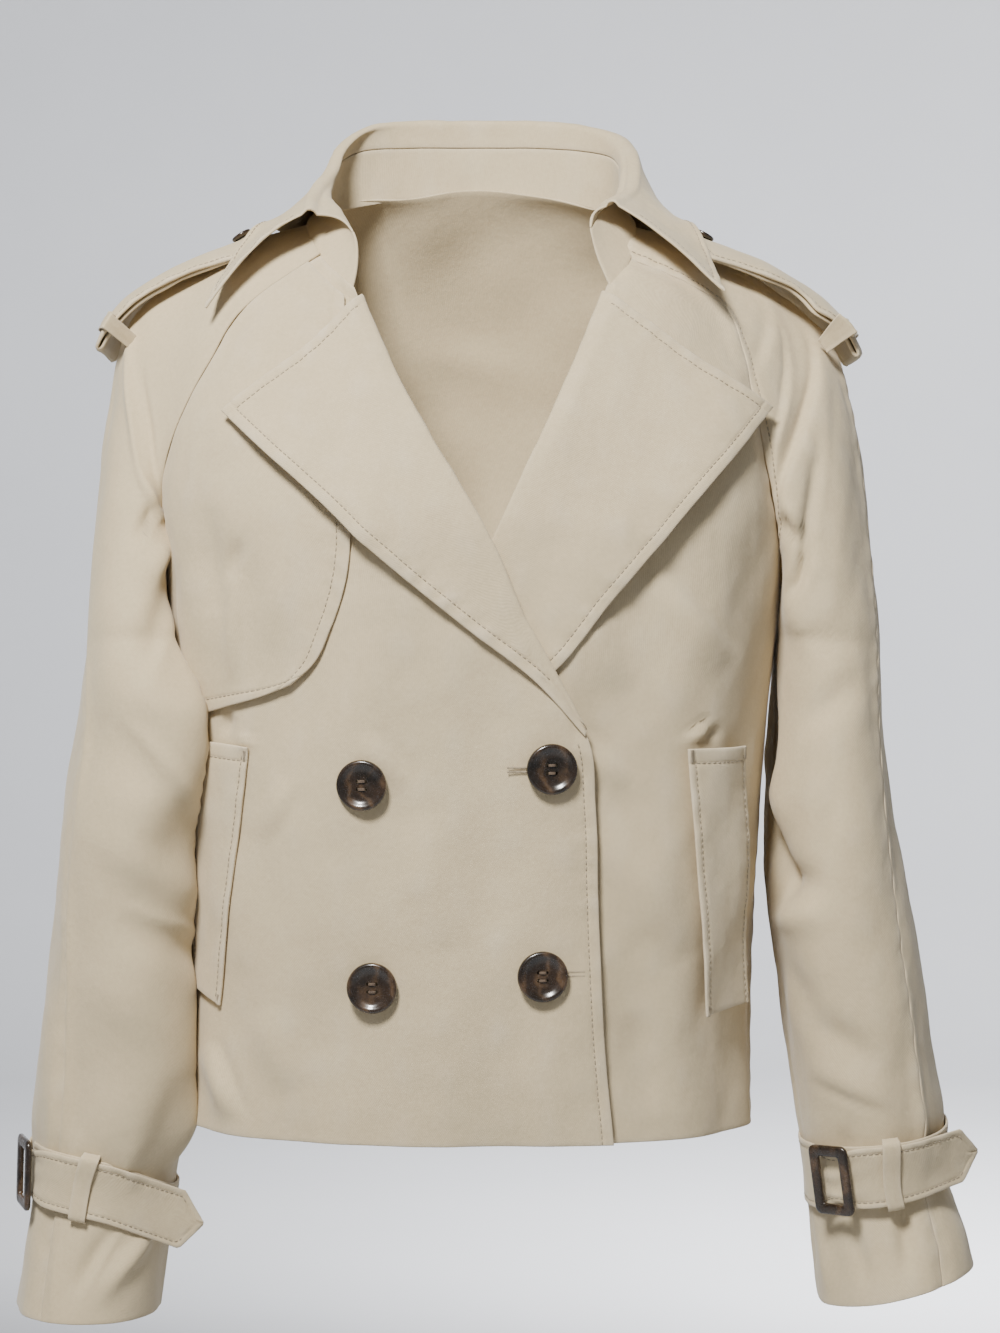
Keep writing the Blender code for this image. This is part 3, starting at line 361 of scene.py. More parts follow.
@dataclass(frozen=True)
class SleeveCut:
    """One sleeve's surface: t runs neck to cuff, q from the back seam (-1) to the front (+1).

    The rows give the overarm point o, the seam or underarm point u, the bulge in front and
    behind, and tube, which is 0 where the sleeve leaves the body and 1 round the arm.
    """

    side: str
    sign: int
    rows: Table
    folds: tuple[Fold, ...]
    creases: tuple[Fold, ...]
    overarm: Table = Table("t", {"t": [0, 4, 8, 12, 16, 19, 22],
                                 "q": [0.0, 0.02, 0.14, 0.2, 0.26, 0.3, 0.34]})

    def seam(self) -> Table:
        """The front raglan seam on this side."""
        return BODY.seam_right if self.sign < 0 else BODY.seam_left

    def surface(self, t: Grid, q: Grid) -> Grid:
        """Points of the sleeve.

        Args:
            t: stations, 0 at the neck and 22 at the cuff.
            q: turn round the sleeve.

        Returns:
            One point for each station and turn.
        """
        sign, rows = self.sign, self.rows
        t, q = np.broadcast_arrays(np.asarray(t, float), np.asarray(q, float))
        o = np.stack([sign * rows.at("ox", t), rows.at("oy", t), rows.at("oz", t)], axis=-1)
        tube = rows.at("tube", t)[..., None]
        uz = rows.at("uz", t)
        arm = np.stack([sign * rows.at("ux", t), rows.at("uy", t), uz], axis=-1)
        apart = 0.6 * smooth(t, 5, 8)
        front_seam = BODY.place(sign * BODY.seam_angle(self.seam(), uz), uz, apart)
        angle, zb = BODY.back_line(t)
        in_arm = smooth(t, SEAM_END, SEAM_END + 1.2)[..., None]
        front = (q >= 0)[..., None]
        back_seam = BODY.place(sign * angle, zb, apart)
        u = np.where(front, front_seam, back_seam) * (1 - in_arm) + arm * in_arm
        depth = np.where(q >= 0, rows.at("front", t), rows.at("rear", t))[..., None]
        way = np.where(front, -1.0, 1.0) * np.array([0, 1.0, 0])
        centre = np.stack([0 * uz, 0 * uz + BODY.waist_y, u[..., 2]], axis=-1)
        normal = unit((u - centre) * np.array([1, 2.2, 1]))
        chord = o - u
        flat = chord - (chord * normal).sum(axis=-1, keepdims=True) * normal
        c1 = o + way * depth * (0.62 + 0.71 * tube)
        c2 = u + flat * 0.42 * (1 - tube) + way * depth * 1.33 * tube
        c2[..., 0] -= sign * np.where(q >= 0, rows.at("hug", t), 0)
        s = np.abs(q)[..., None]
        p = o * (1 - s) ** 3 + 3 * c1 * s * (1 - s) ** 2 + 3 * c2 * s * s * (1 - s) + u * s ** 3
        high = fold_height(self.folds, t * STATION_MM, q * TURN_MM, 0.45)
        hold = smooth(1 - np.abs(q), 0, 0.12) * (1 - 0.8 * smooth(8 - np.abs(t - 19), 0, 7.4))
        core = (o + u) / 2 + np.array([0, 30.0, -25]) * (1 - tube) * np.array([1, 0, 1]) - way * 4
        p = p + unit(p - core) * (high * hold)[..., None]
        clear = np.maximum(smooth(t, SEAM_END, SEAM_END + 1.2), smooth(1 - np.abs(q), 0, 0.35))
        return self.keep_clear(p, smooth(t, 6, 9), 6.0 * clear)

    def keep_clear(self, p: Grid, amount: Grid, margin: Grid) -> Grid:
        """Moves arm points that would press into the body out to just clear of it.

        Args:
            p: sleeve points.
            amount: how much of the move is made.
            margin: distance left between sleeve and body.

        Returns:
            The points where they now are.
        """
        half, depth, rear = (BODY.rings.at(column, p[..., 2]) + margin
                             for column in ("half", "front", "rear"))
        y = p[..., 1] - BODY.waist_y
        deep = np.where(y < 0, depth, rear)
        inside = np.abs(p[..., 0] / half) ** (2 / BODY.oval) + np.abs(y / deep) ** (2 / BODY.oval)
        grow = np.where(inside < 1, np.maximum(inside, 0.2) ** (-BODY.oval / 2), 1)
        grow = np.where(p[..., 2] < HEM_Z - 12, 1, 1 + (grow - 1) * amount)
        moved = p.copy()
        moved[..., 0] = p[..., 0] * grow
        moved[..., 1] = BODY.waist_y + y * grow
        return moved

    def normal(self, t: Grid, q: Grid) -> Grid:
        """Outward normals of the sleeve."""
        dt = self.surface(np.minimum(t + 0.1, CUFF), q) - self.surface(t - 0.1, q)
        dq = self.surface(t, q + 0.03) - self.surface(t, q - 0.03)
        return unit(np.cross(dq, dt)) * self.sign

    def out(self, t: Grid, q: Grid, high: Grid | float) -> Grid:
        """Points at a height over the sleeve's outside."""
        return self.surface(t, q) + self.normal(t, q) * np.asarray(high, float)[..., None]


def sleeve_folds(*rows: tuple[float, ...]) -> tuple[Fold, ...]:
    """Folds given by station and turn at both ends, as rough cloth lengths."""
    return folds(*((a * STATION_MM, b * TURN_MM, c * STATION_MM, d * TURN_MM, *rest)
                   for a, b, c, d, *rest in rows))


ARM = {"t": list(range(23)),
       "oy": [-2, -1, 0, 2, 4, 4, 4, 4, 3, 2, 0, -2, -4, -6, -8, -10, -12, -14, -15, -16,
              -17, -18, -20],
       "uy": [6, 6, 6, 6, 6, 6, 6, 6, 6, 6, 6, 6, 10, 8, 4, 0, -4, -8, -12, -14, -16, -18, -20],
       "tube": [0, 0, 0, 0, 0.02, 0.06, 0.13, 0.24, 0.4, 0.58, 0.77, 0.92] + [1] * 11}
SLEEVE_RIGHT = SleeveCut(
    "right", -1, Table("t", ARM | {
        "oz": [3, -6, -16, -30, -44, -58, -76, -100, -130, -170, -210, -246,
               -290, -330, -370, -410, -450, -490, -526, -556, -580, -606, -637],
        "ox": [94, 125, 143, 169, 190, 203, 211, 215, 219, 223, 227, 230,
               234, 239, 244, 248, 251, 255, 257, 256, 259, 264, 269],
        "uz": [-20, -38, -57, -72, -88, -103, -122, -140, -160, -184, -214, -243,
               -290, -330, -372, -412, -452, -492, -528, -558, -582, -608, -639],
        "ux": [*[188] * 12, 174, 168, 168, 171,
               170, 168, 170, 176, 178, 181, 185],
        "front": [8, 12, 17, 24, 30, 36, 42, 48, 54, 63, 75, 90, 103, 103, 94, 84, 76, 68, 62,
                  53, 51, 53, 55],
        "rear": [8, 12, 17, 24, 30, 36, 42, 48, 54, 60, 64, 68, 66, 64, 62, 60, 56, 52, 48,
                 43, 42, 44, 46],
        "hug": [0, 0, 0, 0, 0, 0, 0, 0, 2, 10, 28, 52, 78, 62, 44, 38, 40, 40, 26, 6, 2, 0, 0]}),
    folds=sleeve_folds(
        (4.9, 0.1, 7.6, 0.61, 2.2, 16), (7.6, 0.61, 8.8, 0.9, 2, 16),
        (9.4, 0.86, 10.3, 0.56, 3.4, 18), (12.4, 0.85, 13.4, 0.5, 3.2, 18),
        (13.6, 0.9, 14.4, 0.55, -3, 18), (15.2, 0.9, 15.8, 0.5, 2.4, 18),
        (20.2, 0.69, 21.7, 0.6, -4.2, 14), (20.4, 0.9, 21.5, 0.82, 3, 13),
        (19.9, 0.31, 21.8, 0.4, -2.6, 12), (9.4, -0.9, 10.4, -0.5, 3.4, 18),
        (12.6, -0.85, 13.5, -0.4, 3.2, 18), (13.9, -0.9, 14.7, -0.45, -3, 18),
        (20.1, -0.5, 21.7, -0.45, -3, 14)),
    creases=sleeve_folds(
        (4.8, 0.22, 8.2, 0.72, -3.8, 6), (8, 0.68, 8.9, 1, -3.8, 6),
        (5.6, 0.5, 8, 0.95, 2.8, 8, 1.6), (8.4, 0.92, 9.4, 0.58, 4.6, 5, 2.6),
        (8.9, 1, 10, 0.64, -7.5, 6), (10, 0.85, 11.7, 0.35, 3.4, 9, 1.4),
        (10.6, 0.95, 12.2, 0.6, -3.4, 8),
        (11.2, 0.35, 12.6, 0.75, -2.4, 12), (12.2, 0.3, 13.8, 0.75, 3.6, 10, 2.2),
        (13.6, 0.3, 14.8, 0.9, -4, 9), (14.9, 0.45, 15.6, 0.95, 3.4, 9, 2),
        (15.6, 0.3, 16.6, 0.7, -2, 12), (17.2, 0.84, 18.8, 0.85, -5.5, 8),
        (17, 0.68, 18.6, 0.7, 2.4, 9), (18, 0.34, 19, 0.38, -2.2, 6),
        (18.1, 0.58, 19, 0.62, -2, 7), (20, 0.3, 21.9, 0.39, -2.8, 6),
        (20.2, 0.8, 21.6, 0.58, -5.5, 7), (20.1, 0.6, 21.5, 0.48, 3.4, 6, 2),
        (8.6, -0.7, 10.4, -0.92, -3.2, 8), (10.6, -0.4, 12, -0.7, 2.6, 13),
        (12.6, -0.95, 13.8, -0.6, -4.4, 10), (14.2, -0.9, 15.1, -0.5, 3.4, 12),
        (15.6, -0.3, 16.2, -0.7, -2.4, 12), (17.2, -0.92, 18, -0.55, 2.6, 11),
        (20.2, -0.3, 21.8, -0.22, -2.4, 7), (20.4, -0.75, 21.8, -0.7, -2.6, 7)))
SLEEVE_LEFT = SleeveCut(
    "left", 1, Table("t", ARM | {
        "oz": [3, -6, -16, -30, -46, -62, -80, -104, -132, -168, -210, -248,
               -294, -336, -378, -418, -456, -496, -526, -554, -574, -594, -612],
        "ox": [94, 126, 146, 173, 196, 212, 222, 228, 233, 237, 241, 244,
               246, 250, 256, 262, 268, 274, 279, 278, 284, 292, 296],
        "uz": [-20, -36, -54, -70, -86, -102, -121, -140, -160, -184, -214, -243,
               -294, -336, -378, -418, -456, -494, -528, -558, -582, -608, -636],
        "ux": [*[188] * 12,
               180, 177, 176, 179, 185, 191, 196, 200, 202, 204, 206],
        "front": [8, 12, 17, 24, 30, 36, 42, 48, 54, 60, 66, 70,
                  72, 72, 70, 68, 66, 62, 58, 50, 47, 49, 51],
        "rear": [8, 12, 17, 24, 30, 36, 42, 48, 54, 60, 64, 68,
                 66, 64, 62, 60, 56, 52, 48, 42, 40, 42, 44],
        "hug": [0, 0, 0, 0, 0, 0, 0, 0, 2, 4, 8, 12, 16, 14, 12, 8, 4, 2, 0, 0, 0, 0, 0]}),
    folds=sleeve_folds(
        (3.3, 0.33, 4.6, 0.85, 2, 14), (3.9, 0.2, 6, 0.78, -2, 14),
        (5, 0.28, 7.2, 0.68, 2.6, 14), (7.2, 0.68, 8.6, 0.88, 2.6, 15),
        (8.2, 0.56, 9.8, 0.6, -3.6, 15), (9.6, 0.78, 10.5, 0.84, 4.2, 16),
        (12.5, 0.92, 13.3, 0.55, 3.2, 18), (13.4, 0.95, 14.4, 0.72, -4, 17),
        (14.8, 0.9, 15.4, 0.6, 3, 18), (19.4, 0.43, 21.2, 0.48, -3.4, 12),
        (20.6, 0.7, 21.8, 0.62, 3, 14), (9.6, -0.9, 10.6, -0.5, 3.4, 18),
        (12.8, -0.85, 13.7, -0.4, 3.2, 18), (14.1, -0.9, 14.9, -0.45, -3, 18),
        (20.1, -0.55, 21.7, -0.5, -3, 14)),
    creases=sleeve_folds(
        (3.5, 0.34, 6.2, 0.82, -2.2, 10), (3.3, 0.42, 4.2, 0.95, -1.8, 9),
        (4, 0.44, 7.4, 0.97, 3.4, 8, 1.8), (4.7, 0.3, 8.5, 1, -4.8, 6.5),
        (6, 0.42, 9, 0.66, 1.8, 10), (7.4, 0.56, 10.5, 0.8, -4.8, 7),
        (8.7, 1, 9.4, 0.68, -3.8, 5), (9.4, 0.66, 10.3, 0.84, -4.4, 6),
        (8.3, 0.9, 9.3, 0.7, 4.4, 5, 2), (10.2, 0.9, 11.3, 0.55, 3.4, 9),
        (11.95, 0.7, 11.5, 0.3, -4.6, 7), (12.6, 0.92, 13.6, 0.74, 2.8, 10),
        (13, 1, 14.45, 0.74, -8.5, 8), (14.2, 0.88, 14.2, 0.56, -6.5, 7),
        (14.85, 0.95, 14.6, 0.56, 5, 7), (12.7, 0.49, 14.3, 0.6, -2.2, 6),
        (16.2, 0.78, 16.9, 0.44, -3.8, 8), (17, 0.82, 17.5, 0.44, 3, 8, 1.6),
        (15.3, 0.9, 16.2, 0.72, -2, 10), (18, 0.7, 19, 0.72, -2.4, 7),
        (18.2, 0.5, 19, 0.5, 1.8, 7), (19.4, 0.41, 21.5, 0.5, -4.4, 5),
        (20.2, 0.7, 21.7, 0.67, -3.4, 6), (20.5, 0.92, 21.8, 0.88, 2.2, 6),
        (8.7, -0.7, 10.5, -0.92, -3.2, 8), (10.4, -0.4, 11.9, -0.66, 2.6, 13),
        (12.7, -0.95, 13.9, -0.6, -4.4, 10), (14.3, -0.9, 15.2, -0.5, 3.4, 12),
        (15.4, -0.35, 16.1, -0.75, -2.4, 12), (17.4, -0.92, 18.1, -0.55, 2.6, 11),
        (20.2, -0.35, 21.8, -0.28, -2.4, 7), (20.4, -0.8, 21.8, -0.72, -2.6, 7)))


class Rim(Enum):
    """The four edges of a cloth sheet."""

    LEFT = "left"
    RIGHT = "right"
    LOW = "low"
    HIGH = "high"


class Held(Enum):
    """How a sheet of cloth is held."""

    HUNG = "hung"
    FOLDED = "folded"
    LAID = "laid"


class Layout(NamedTuple):
    """A sheet's grid: its parameters, its points and its distances from the four rims."""

    u: Grid
    v: Grid
    p: Grid
    left: Grid
    right: Grid
    low: Grid
    high: Grid


def travelled(p: Grid, axis: int) -> Grid:
    """Length walked along an axis of a grid of points."""
    steps = np.linalg.norm(np.diff(p, axis=axis), axis=-1)
    start = np.zeros_like(np.take(p, [0], axis)[..., 0])
    return np.concatenate([start, np.cumsum(steps, axis=axis)], axis=axis)


def rails(lengths: Grid, step: float, first: Sequence[float], last: Sequence[float]) -> Grid:
    """Distances of the grid lines along lines of different lengths.

    Args:
        lengths: length of each line.
        step: spacing away from the rims.
        first: spacing at the start rim.
        last: spacing at the end rim.

    Returns:
        One row of distances for each length.
    """
    count = max(2, round((lengths.max() - first[-1] - last[-1]) / step))
    near = np.minimum(1, 0.45 * lengths / first[-1])[:, None] * np.asarray(first)
    far = np.minimum(1, 0.45 * lengths / last[-1])[:, None] * np.asarray(last)[::-1]
    far = lengths[:, None] - far
    share = np.linspace(0, 1, count + 1)[1:-1]
    middle = near[:, -1:] + (far[:, :1] - near[:, -1:]) * share
    return np.concatenate([near, middle, far], axis=1)


def edge_ripple(d: Grid, along: Grid, stitch: float, seed: float, high: float) -> Grid:
    """Relief of a topstitched edge.

    Args:
        d: distance from the edge.
        along: distance along it.
        stitch: the stitching's distance from the edge.
        seed: shifts the ripples.
        high: height of the puckers.

    Returns:
        A channel under the thread, a raised turning and uneven puckers.
    """
    channel = -0.38 * np.exp(-((d - stitch) / 0.75) ** 2)
    turning = 0.14 * smooth(d, 0, 1.6) * (1 - smooth(d, stitch - 1.4, stitch + 0.4))
    wave = np.sin(along / 2.3 + seed + 1.7 * np.sin(along / 15 + 2 * seed))
    wave = wave * (0.55 + 0.45 * np.sin(along / 31 + 3 * seed))
    wave = wave + 0.5 * np.sin(along / 4.9 + 5 * seed)
    return channel + turning + high * wave * np.exp(-((d - 0.8 * stitch) / (0.95 * stitch)) ** 2)


def ripples(lay: Layout, *edges: tuple[Rim, float, float, float]) -> Grid:
    """Relief of topstitched edges, given by rim, stitching, seed and height."""
    return sum(edge_ripple(getattr(lay, rim.value), lay.left if rim in (Rim.LOW, Rim.HIGH)
                           else lay.low, *rest) for rim, *rest in edges)


Relief = Callable[[Layout], Grid]


def no_relief(lay: Layout) -> Grid:
    """Relief of a plain piece."""
    return 0 * lay.u


@dataclass
class Sheet:
    """A closed cloth wall over a surface, with rounded edges.

    surface gives points for u across and v along, both 0 to 1. facing is the way that the
    outside looks at the place at. shape is relief of the whole wall and face that of its
    outside alone.
    """

    name: str
    surface: Callable[[Grid, Grid], Grid]
    facing: Sequence[float]
    shape: Relief = no_relief
    face: Relief = no_relief
    thick: float = CLOTH
    step: float = 3.4
    rims: tuple[Sequence[float], ...] = (PLAIN, PLAIN, PLAIN, PLAIN)
    at: tuple[float, float] = (0.5, 0.5)
    held: Held = Held.HUNG
    rests_on: tuple[str, ...] = ()
    lay: Layout | None = None
    outer: Grid | None = None
    normal: Grid | None = None

    def spread(self) -> Layout:
        """Places the grid: exact distances at the rims, even spacing between them.

        Returns:
            The grid's layout.
        """
        coarse = np.linspace(0, 1, 121)
        p = self.surface(np.tile(coarse, (121, 1)), np.tile(coarse[:, None], (1, 121)))
        across, along = travelled(p, 1), travelled(p, 0)
        columns = rails(across[:, -1], self.step, *self.rims[:2])
        rows = rails(along[-1], self.step, *self.rims[2:])
        by_v = np.stack([np.interp(c, a, coarse) for c, a in zip(columns, across)])
        by_u = np.stack([np.interp(r, a, coarse) for r, a in zip(rows, along.T)], axis=1)
        v = np.tile(by_u[:, 60][:, None], (1, by_v.shape[1]))
        u = np.zeros_like(v)
        for _ in range(4):
            u = np.stack([np.interp(v[:, j], coarse, by_v[:, j]) for j in range(v.shape[1])], 1)
            v = np.stack([np.interp(u[i], coarse, by_u[i]) for i in range(v.shape[0])], 0)
        p = self.surface(u, v)
        left, low = travelled(p, 1), travelled(p, 0)
        return Layout(u, v, p, left, left[:, -1:] - left, low, low[-1:] - low)

    def make(self) -> "Sheet":
        """Builds the wall's object in the cloth finish, in place of the CAD node of its name.

        Returns:
            This sheet, with its layout known.
        """
        lay = self.spread()
        normal = unit(np.cross(np.gradient(lay.p, axis=1), np.gradient(lay.p, axis=0)))
        i, j = (int(a * (n - 1)) for a, n in zip(self.at[::-1], lay.u.shape))
        turned = float((normal[i, j] * np.asarray(self.facing, float)).sum()) < 0
        normal = -normal if turned else normal
        shape, face = self.shape(lay), self.face(lay)
        edge = np.minimum.reduce([lay.left, lay.right, lay.low, lay.high])
        r = self.thick / 2
        drop = (r - np.sqrt(np.maximum(r * r - np.maximum(r - edge, 0) ** 2, 0)))
        outer = lay.p + normal * (shape + face - drop)[..., None]
        inner = lay.p + normal * (shape - self.thick + drop)[..., None]
        self.lay, self.outer, self.normal = lay, outer, normal
        rows, cols = lay.u.shape
        index = np.arange(rows * cols).reshape(rows, cols)
        under = index.copy()
        under[1:-1, 1:-1] = rows * cols + np.arange((rows - 2) * (cols - 2)).reshape(
            rows - 2, cols - 2)
        quads = [np.stack([k[:-1, :-1], k[:-1, 1:], k[1:, 1:], k[1:, :-1]], -1).reshape(-1, 4)
                 for k in (index, under)]
        quads[0 if turned else 1] = quads[0 if turned else 1][:, ::-1]
        points = np.concatenate([outer.reshape(-1, 3), inner[1:-1, 1:-1].reshape(-1, 3)])
        spots = np.stack([lay.left, lay.low], -1)
        spots = np.concatenate([spots.reshape(-1, 2), spots[1:-1, 1:-1].reshape(-1, 2)])
        # Lightening mask: wear along the rims, plus painted highlight on the proud puckers and
        # ripples of the outside relief; the inside gets none.
        wear_and_highlight = 0.8 * np.exp(-edge / 1.3) + np.clip(face, 0, 0.5)
        wear_and_highlight = np.concatenate([wear_and_highlight.reshape(-1), 0 * inner[1:-1, 1:-1, 0].reshape(-1)])
        obj = mesh_object(self.name, points, np.concatenate(quads), spots, wear_and_highlight)
        dress(obj, CLOTH_LOOK, self.name)
        return self

    def line(self, rim: Rim, distance: float, start: float = 0.0,
             end: float = 0.0) -> tuple[Grid, Grid]:
        """Line on the outside at a distance from one rim.

        Args:
            rim: the edge that it follows.
            distance: its distance from that edge.
            start: length left out at its start.
            end: length left out at its end.

        Returns:
            Its points and normals.
        """
        field_of = getattr(self.lay, rim.value)
        upright = rim in (Rim.LEFT, Rim.RIGHT)
        data = np.concatenate([self.outer, self.normal], axis=-1)
        if not upright:
            field_of, data = field_of.T, data.transpose(1, 0, 2)
        if rim in (Rim.RIGHT, Rim.HIGH):
            field_of, data = field_of[:, ::-1], data[:, ::-1]
        rows = [np.array([np.interp(distance, f, d[:, k]) for k in range(6)])
                for f, d in zip(field_of, data) if f[-1] > 2.2 * distance]
        path = np.array(rows)
        walked = travelled(path[:, :3], 0)
        keep = (walked >= start) & (walked <= walked[-1] - end)
        return path[keep, :3], path[keep, 3:]


def carrier(name: str, surface: Callable[[Grid, Grid], Grid], facing: Sequence[float],
            strap: str) -> Sheet:
    """Sheet of a narrow carrier loop, with the relief of stitching along both sides.

    Args:
        name: its name.
        surface: its surface.
        facing: the way that it looks.
        strap: the node that it holds.

    Returns:
        The sheet.
    """
    return Sheet(name, surface, facing, thick=1.0, step=1.8, held=Held.LAID, rests_on=(strap,),
                 face=lambda lay: ripples(lay, (Rim.LEFT, 2.0, 0.3, 0.1),
                                          (Rim.RIGHT, 2.0, 0.8, 0.1)))


def net(rings: int, m: int, unjoined: int = 0) -> list[list[int]]:
    """Faces along closed rings of m points, the last ring joined to the first unless told."""
    return [[i * m + j, (i + 1) % rings * m + j, (i + 1) % rings * m + (j + 1) % m,
             i * m + (j + 1) % m] for i in range(rings - unjoined) for j in range(m)]


def mesh_object(name: str, points: Grid, faces: Grid | list, spots: Grid | None = None,
                wear_and_highlight: Grid | None = None) -> bpy.types.Object:
    """One smooth-shaded object from points in millimetres.

    Args:
        name: the object's name.
        points: vertices.
        faces: vertex indices of each face.
        spots: place of each vertex on the cloth, as texture coordinates.
        wear_and_highlight: how much each vertex is lightened: wear along edges, and painted
            highlight on proud relief.

    Returns:
        The object, linked to the scene.
    """
    mesh = bpy.data.meshes.new(name)
    faces = faces.tolist() if isinstance(faces, np.ndarray) else faces
    mesh.from_pydata((points * MM).tolist(), [], faces)
    mesh.update()
    if spots is not None:
        corners = np.empty(len(mesh.loops), dtype=np.int32)
        mesh.loops.foreach_get("vertex_index", corners)
        layer = mesh.uv_layers.new(name="cloth")
        layer.uv.foreach_set("vector", (spots[corners] * MM).ravel())
    wear = mesh.attributes.new("wear_and_highlight", "FLOAT", "POINT")
    values = np.zeros(len(points)) if wear_and_highlight is None else wear_and_highlight
    wear.data.foreach_set("value", np.asarray(values, dtype=np.float32))
    mesh.shade_smooth()
    obj = bpy.data.objects.new(name, mesh)
    bpy.context.scene.collection.objects.link(obj)
    return obj


@dataclass
class Thread:
    """Rows of stitches, each one a small pillow of thread sunk at both ends."""

    name: str
    pitch: float = 3.5
    length: float = 2.7
    width: float = 0.72
    points: list[Grid] = field(default_factory=list)
    faces: list[Grid] = field(default_factory=list)
    count: int = 0

    def row(self, path: Grid, normals: Grid) -> None:
        """Sews along a path.

        Args:
            path: points of the line.
            normals: the cloth's normals there.
        """
        walked = travelled(path, 0)
        places = np.arange(self.pitch / 2, walked[-1], self.pitch)
        data = np.concatenate([path, normals], axis=1)
        at = [np.stack([np.interp(np.clip(places + off, 0, walked[-1]), walked, data[:, k])
                        for k in range(6)], axis=1)
              for off in (-self.length / 2, 0, self.length / 2)]
        for a, m, b in zip(*at):
            self.stitch(a[:3], b[:3], m[3:])

    def stitch(self, a: Grid, b: Grid, normal: Grid, width: float = 0.0,
               rise: float = 0.2) -> None:
        """Adds one stitch.

        Args:
            a: its start.
            b: its end.
            normal: the cloth's normal.
            width: its width, or 0 for the usual one.
            rise: height of its middle over its ends.
        """
        r = (width or self.width) / 2
        along = unit(b - a)
        side = unit(np.cross(normal, along))
        turn = np.arange(6) * math.pi / 3
        ring = side * np.cos(turn)[:, None] + normal * np.sin(turn)[:, None]
        spine = ((a, -0.12, 0.35), (a + (b - a) * 0.17, rise, 0.95),
                 (a + (b - a) * 0.83, rise, 0.95), (b, -0.12, 0.35))
        self.points.append(np.concatenate([p + normal * h + ring * r * k for p, h, k in spine]))
        quads = [(6 * s + i, 6 * s + (i + 1) % 6, 6 * s + 6 + (i + 1) % 6, 6 * s + 6 + i)
                 for s in range(3) for i in range(6)]
        self.faces += [[self.count + k for k in quad] for quad in quads]
        self.faces += [[self.count + k for k in range(5, -1, -1)],
                       [self.count + 18 + k for k in range(6)]]
        self.count += 24

    def bar(self, a: Grid, b: Grid, normal: Grid, wide: float = 2.4) -> None:
        """Adds a bar tack: a short dense row of stitches across the line from a to b."""
        across = unit(np.cross(normal, b - a)) * wide / 2
        for share in np.linspace(0, 1, max(3, int(np.linalg.norm(b - a) / 0.55))):
            p = a + (b - a) * share
            self.stitch(p - across, p + across, normal, 0.5, 0.28)

    def make(self, finish: "Finish") -> None:
        """Builds the thread's object in a finish."""
        dress(mesh_object(self.name, np.concatenate(self.points), self.faces), finish)


def dress(obj: bpy.types.Object, finish: "Finish", *nodes: str) -> None:
    """Gives a piece its finish, its body and the CAD nodes that it stands for.

    Args:
        obj: the piece.
        finish: its finish.
        *nodes: CAD nodes that it replaces.
    """
    obj.data.materials.append(finish.material())
    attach(obj, "root")
    if nodes:
        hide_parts(*nodes)
    LOG.info("%s: %d faces", obj.name, len(obj.data.polygons))


class Wiring:
    """Adds nodes and links to one node tree."""

    def __init__(self, tree: bpy.types.NodeTree) -> None:
        """Keeps the tree that it works on."""
        self.tree = tree

    def add(self, kind: str, values: dict | None = None, **options: object) -> bpy.types.Node:
        """Adds a node.

        Args:
            kind: the node's type, without its ShaderNode prefix.
            values: input values by socket name or number; a socket there is linked.
            **options: properties of the node.

        Returns:
            The node.
        """
        node = self.tree.nodes.new("ShaderNode" + kind)
        for name, value in options.items():
            setattr(node, name, value)
        self.fill(node, values or {})
        return node

    def put(self, socket: bpy.types.NodeSocket, value: object) -> None:
        """Links a socket to another, or sets its value."""
        if isinstance(value, bpy.types.NodeSocket):
            self.tree.links.new(value, socket)
        else:
            socket.default_value = value

    def fill(self, node: bpy.types.Node, values: dict[str, object]) -> None:
        """Links or sets several inputs of a node."""
        for name, value in values.items():
            self.put(node.inputs[name], value)

    def math(self, kind: str, a: object, b: object = 0.0) -> bpy.types.NodeSocket:
        """Output of a Math node with two inputs."""
        return self.add("Math", {0: a, 1: b}, operation=kind).outputs[0]

    def mix(self, share: object, a: object, b: object) -> bpy.types.NodeSocket:
        """Colour between a and b."""
        return self.add("Mix", {0: share, 6: a, 7: b}, data_type="RGBA").outputs[2]

    def group(self, tree: bpy.types.NodeTree, values: dict) -> bpy.types.Node:
        """Places a node group and fills its inputs."""
        node = self.add("Group", None, node_tree=tree)
        self.fill(node, values)
        return node


def new_group(name: str, inputs: dict[str, float],
              outputs: Sequence[str]) -> tuple[Wiring, bpy.types.Node, bpy.types.Node]:
    """Starts a shader node group with a Vector input.

    Args:
        name: the group's name.
        inputs: default value of its other inputs by name.
        outputs: names of its outputs.

    Returns:
        The wiring, the group's input node and its output node.
    """
    tree = bpy.data.node_groups.new(name, "ShaderNodeTree")
    tree.interface.new_socket("Vector", in_out="INPUT", socket_type="NodeSocketVector")
    for label, value in inputs.items():
        socket = tree.interface.new_socket(label, in_out="INPUT", socket_type="NodeSocketFloat")
        socket.default_value = value
    for label in outputs:
        tree.interface.new_socket(label, in_out="OUTPUT", socket_type="NodeSocketFloat")
    wiring = Wiring(tree)
    return wiring, tree.nodes.new("NodeGroupInput"), tree.nodes.new("NodeGroupOutput")


@cache
def mottle_group() -> bpy.types.NodeTree:
    """Soft unevenness of tone, shared by cloth, thread, horn and floor.

    Returns:
        The group: Vector, Scale and Contrast in, Tone out.
    """
    w, enter, leave = new_group("soft_mottle", {"Scale": 10.0, "Contrast": 1.0}, ["Tone"])
    noise = w.add("TexNoise", {"Vector": enter.outputs["Vector"], "Scale": enter.outputs["Scale"],
                               "Detail": 5.0, "Roughness": 0.62})
    spread = w.math("MULTIPLY", w.math("SUBTRACT", noise.outputs["Fac"], 0.5),
                    w.math("MULTIPLY", enter.outputs["Contrast"], 2.0))
    w.put(leave.inputs["Tone"], w.add("Math", {0: spread, 1: 0.5}, operation="ADD",
                                      use_clamp=True).outputs[0])
    return w.tree


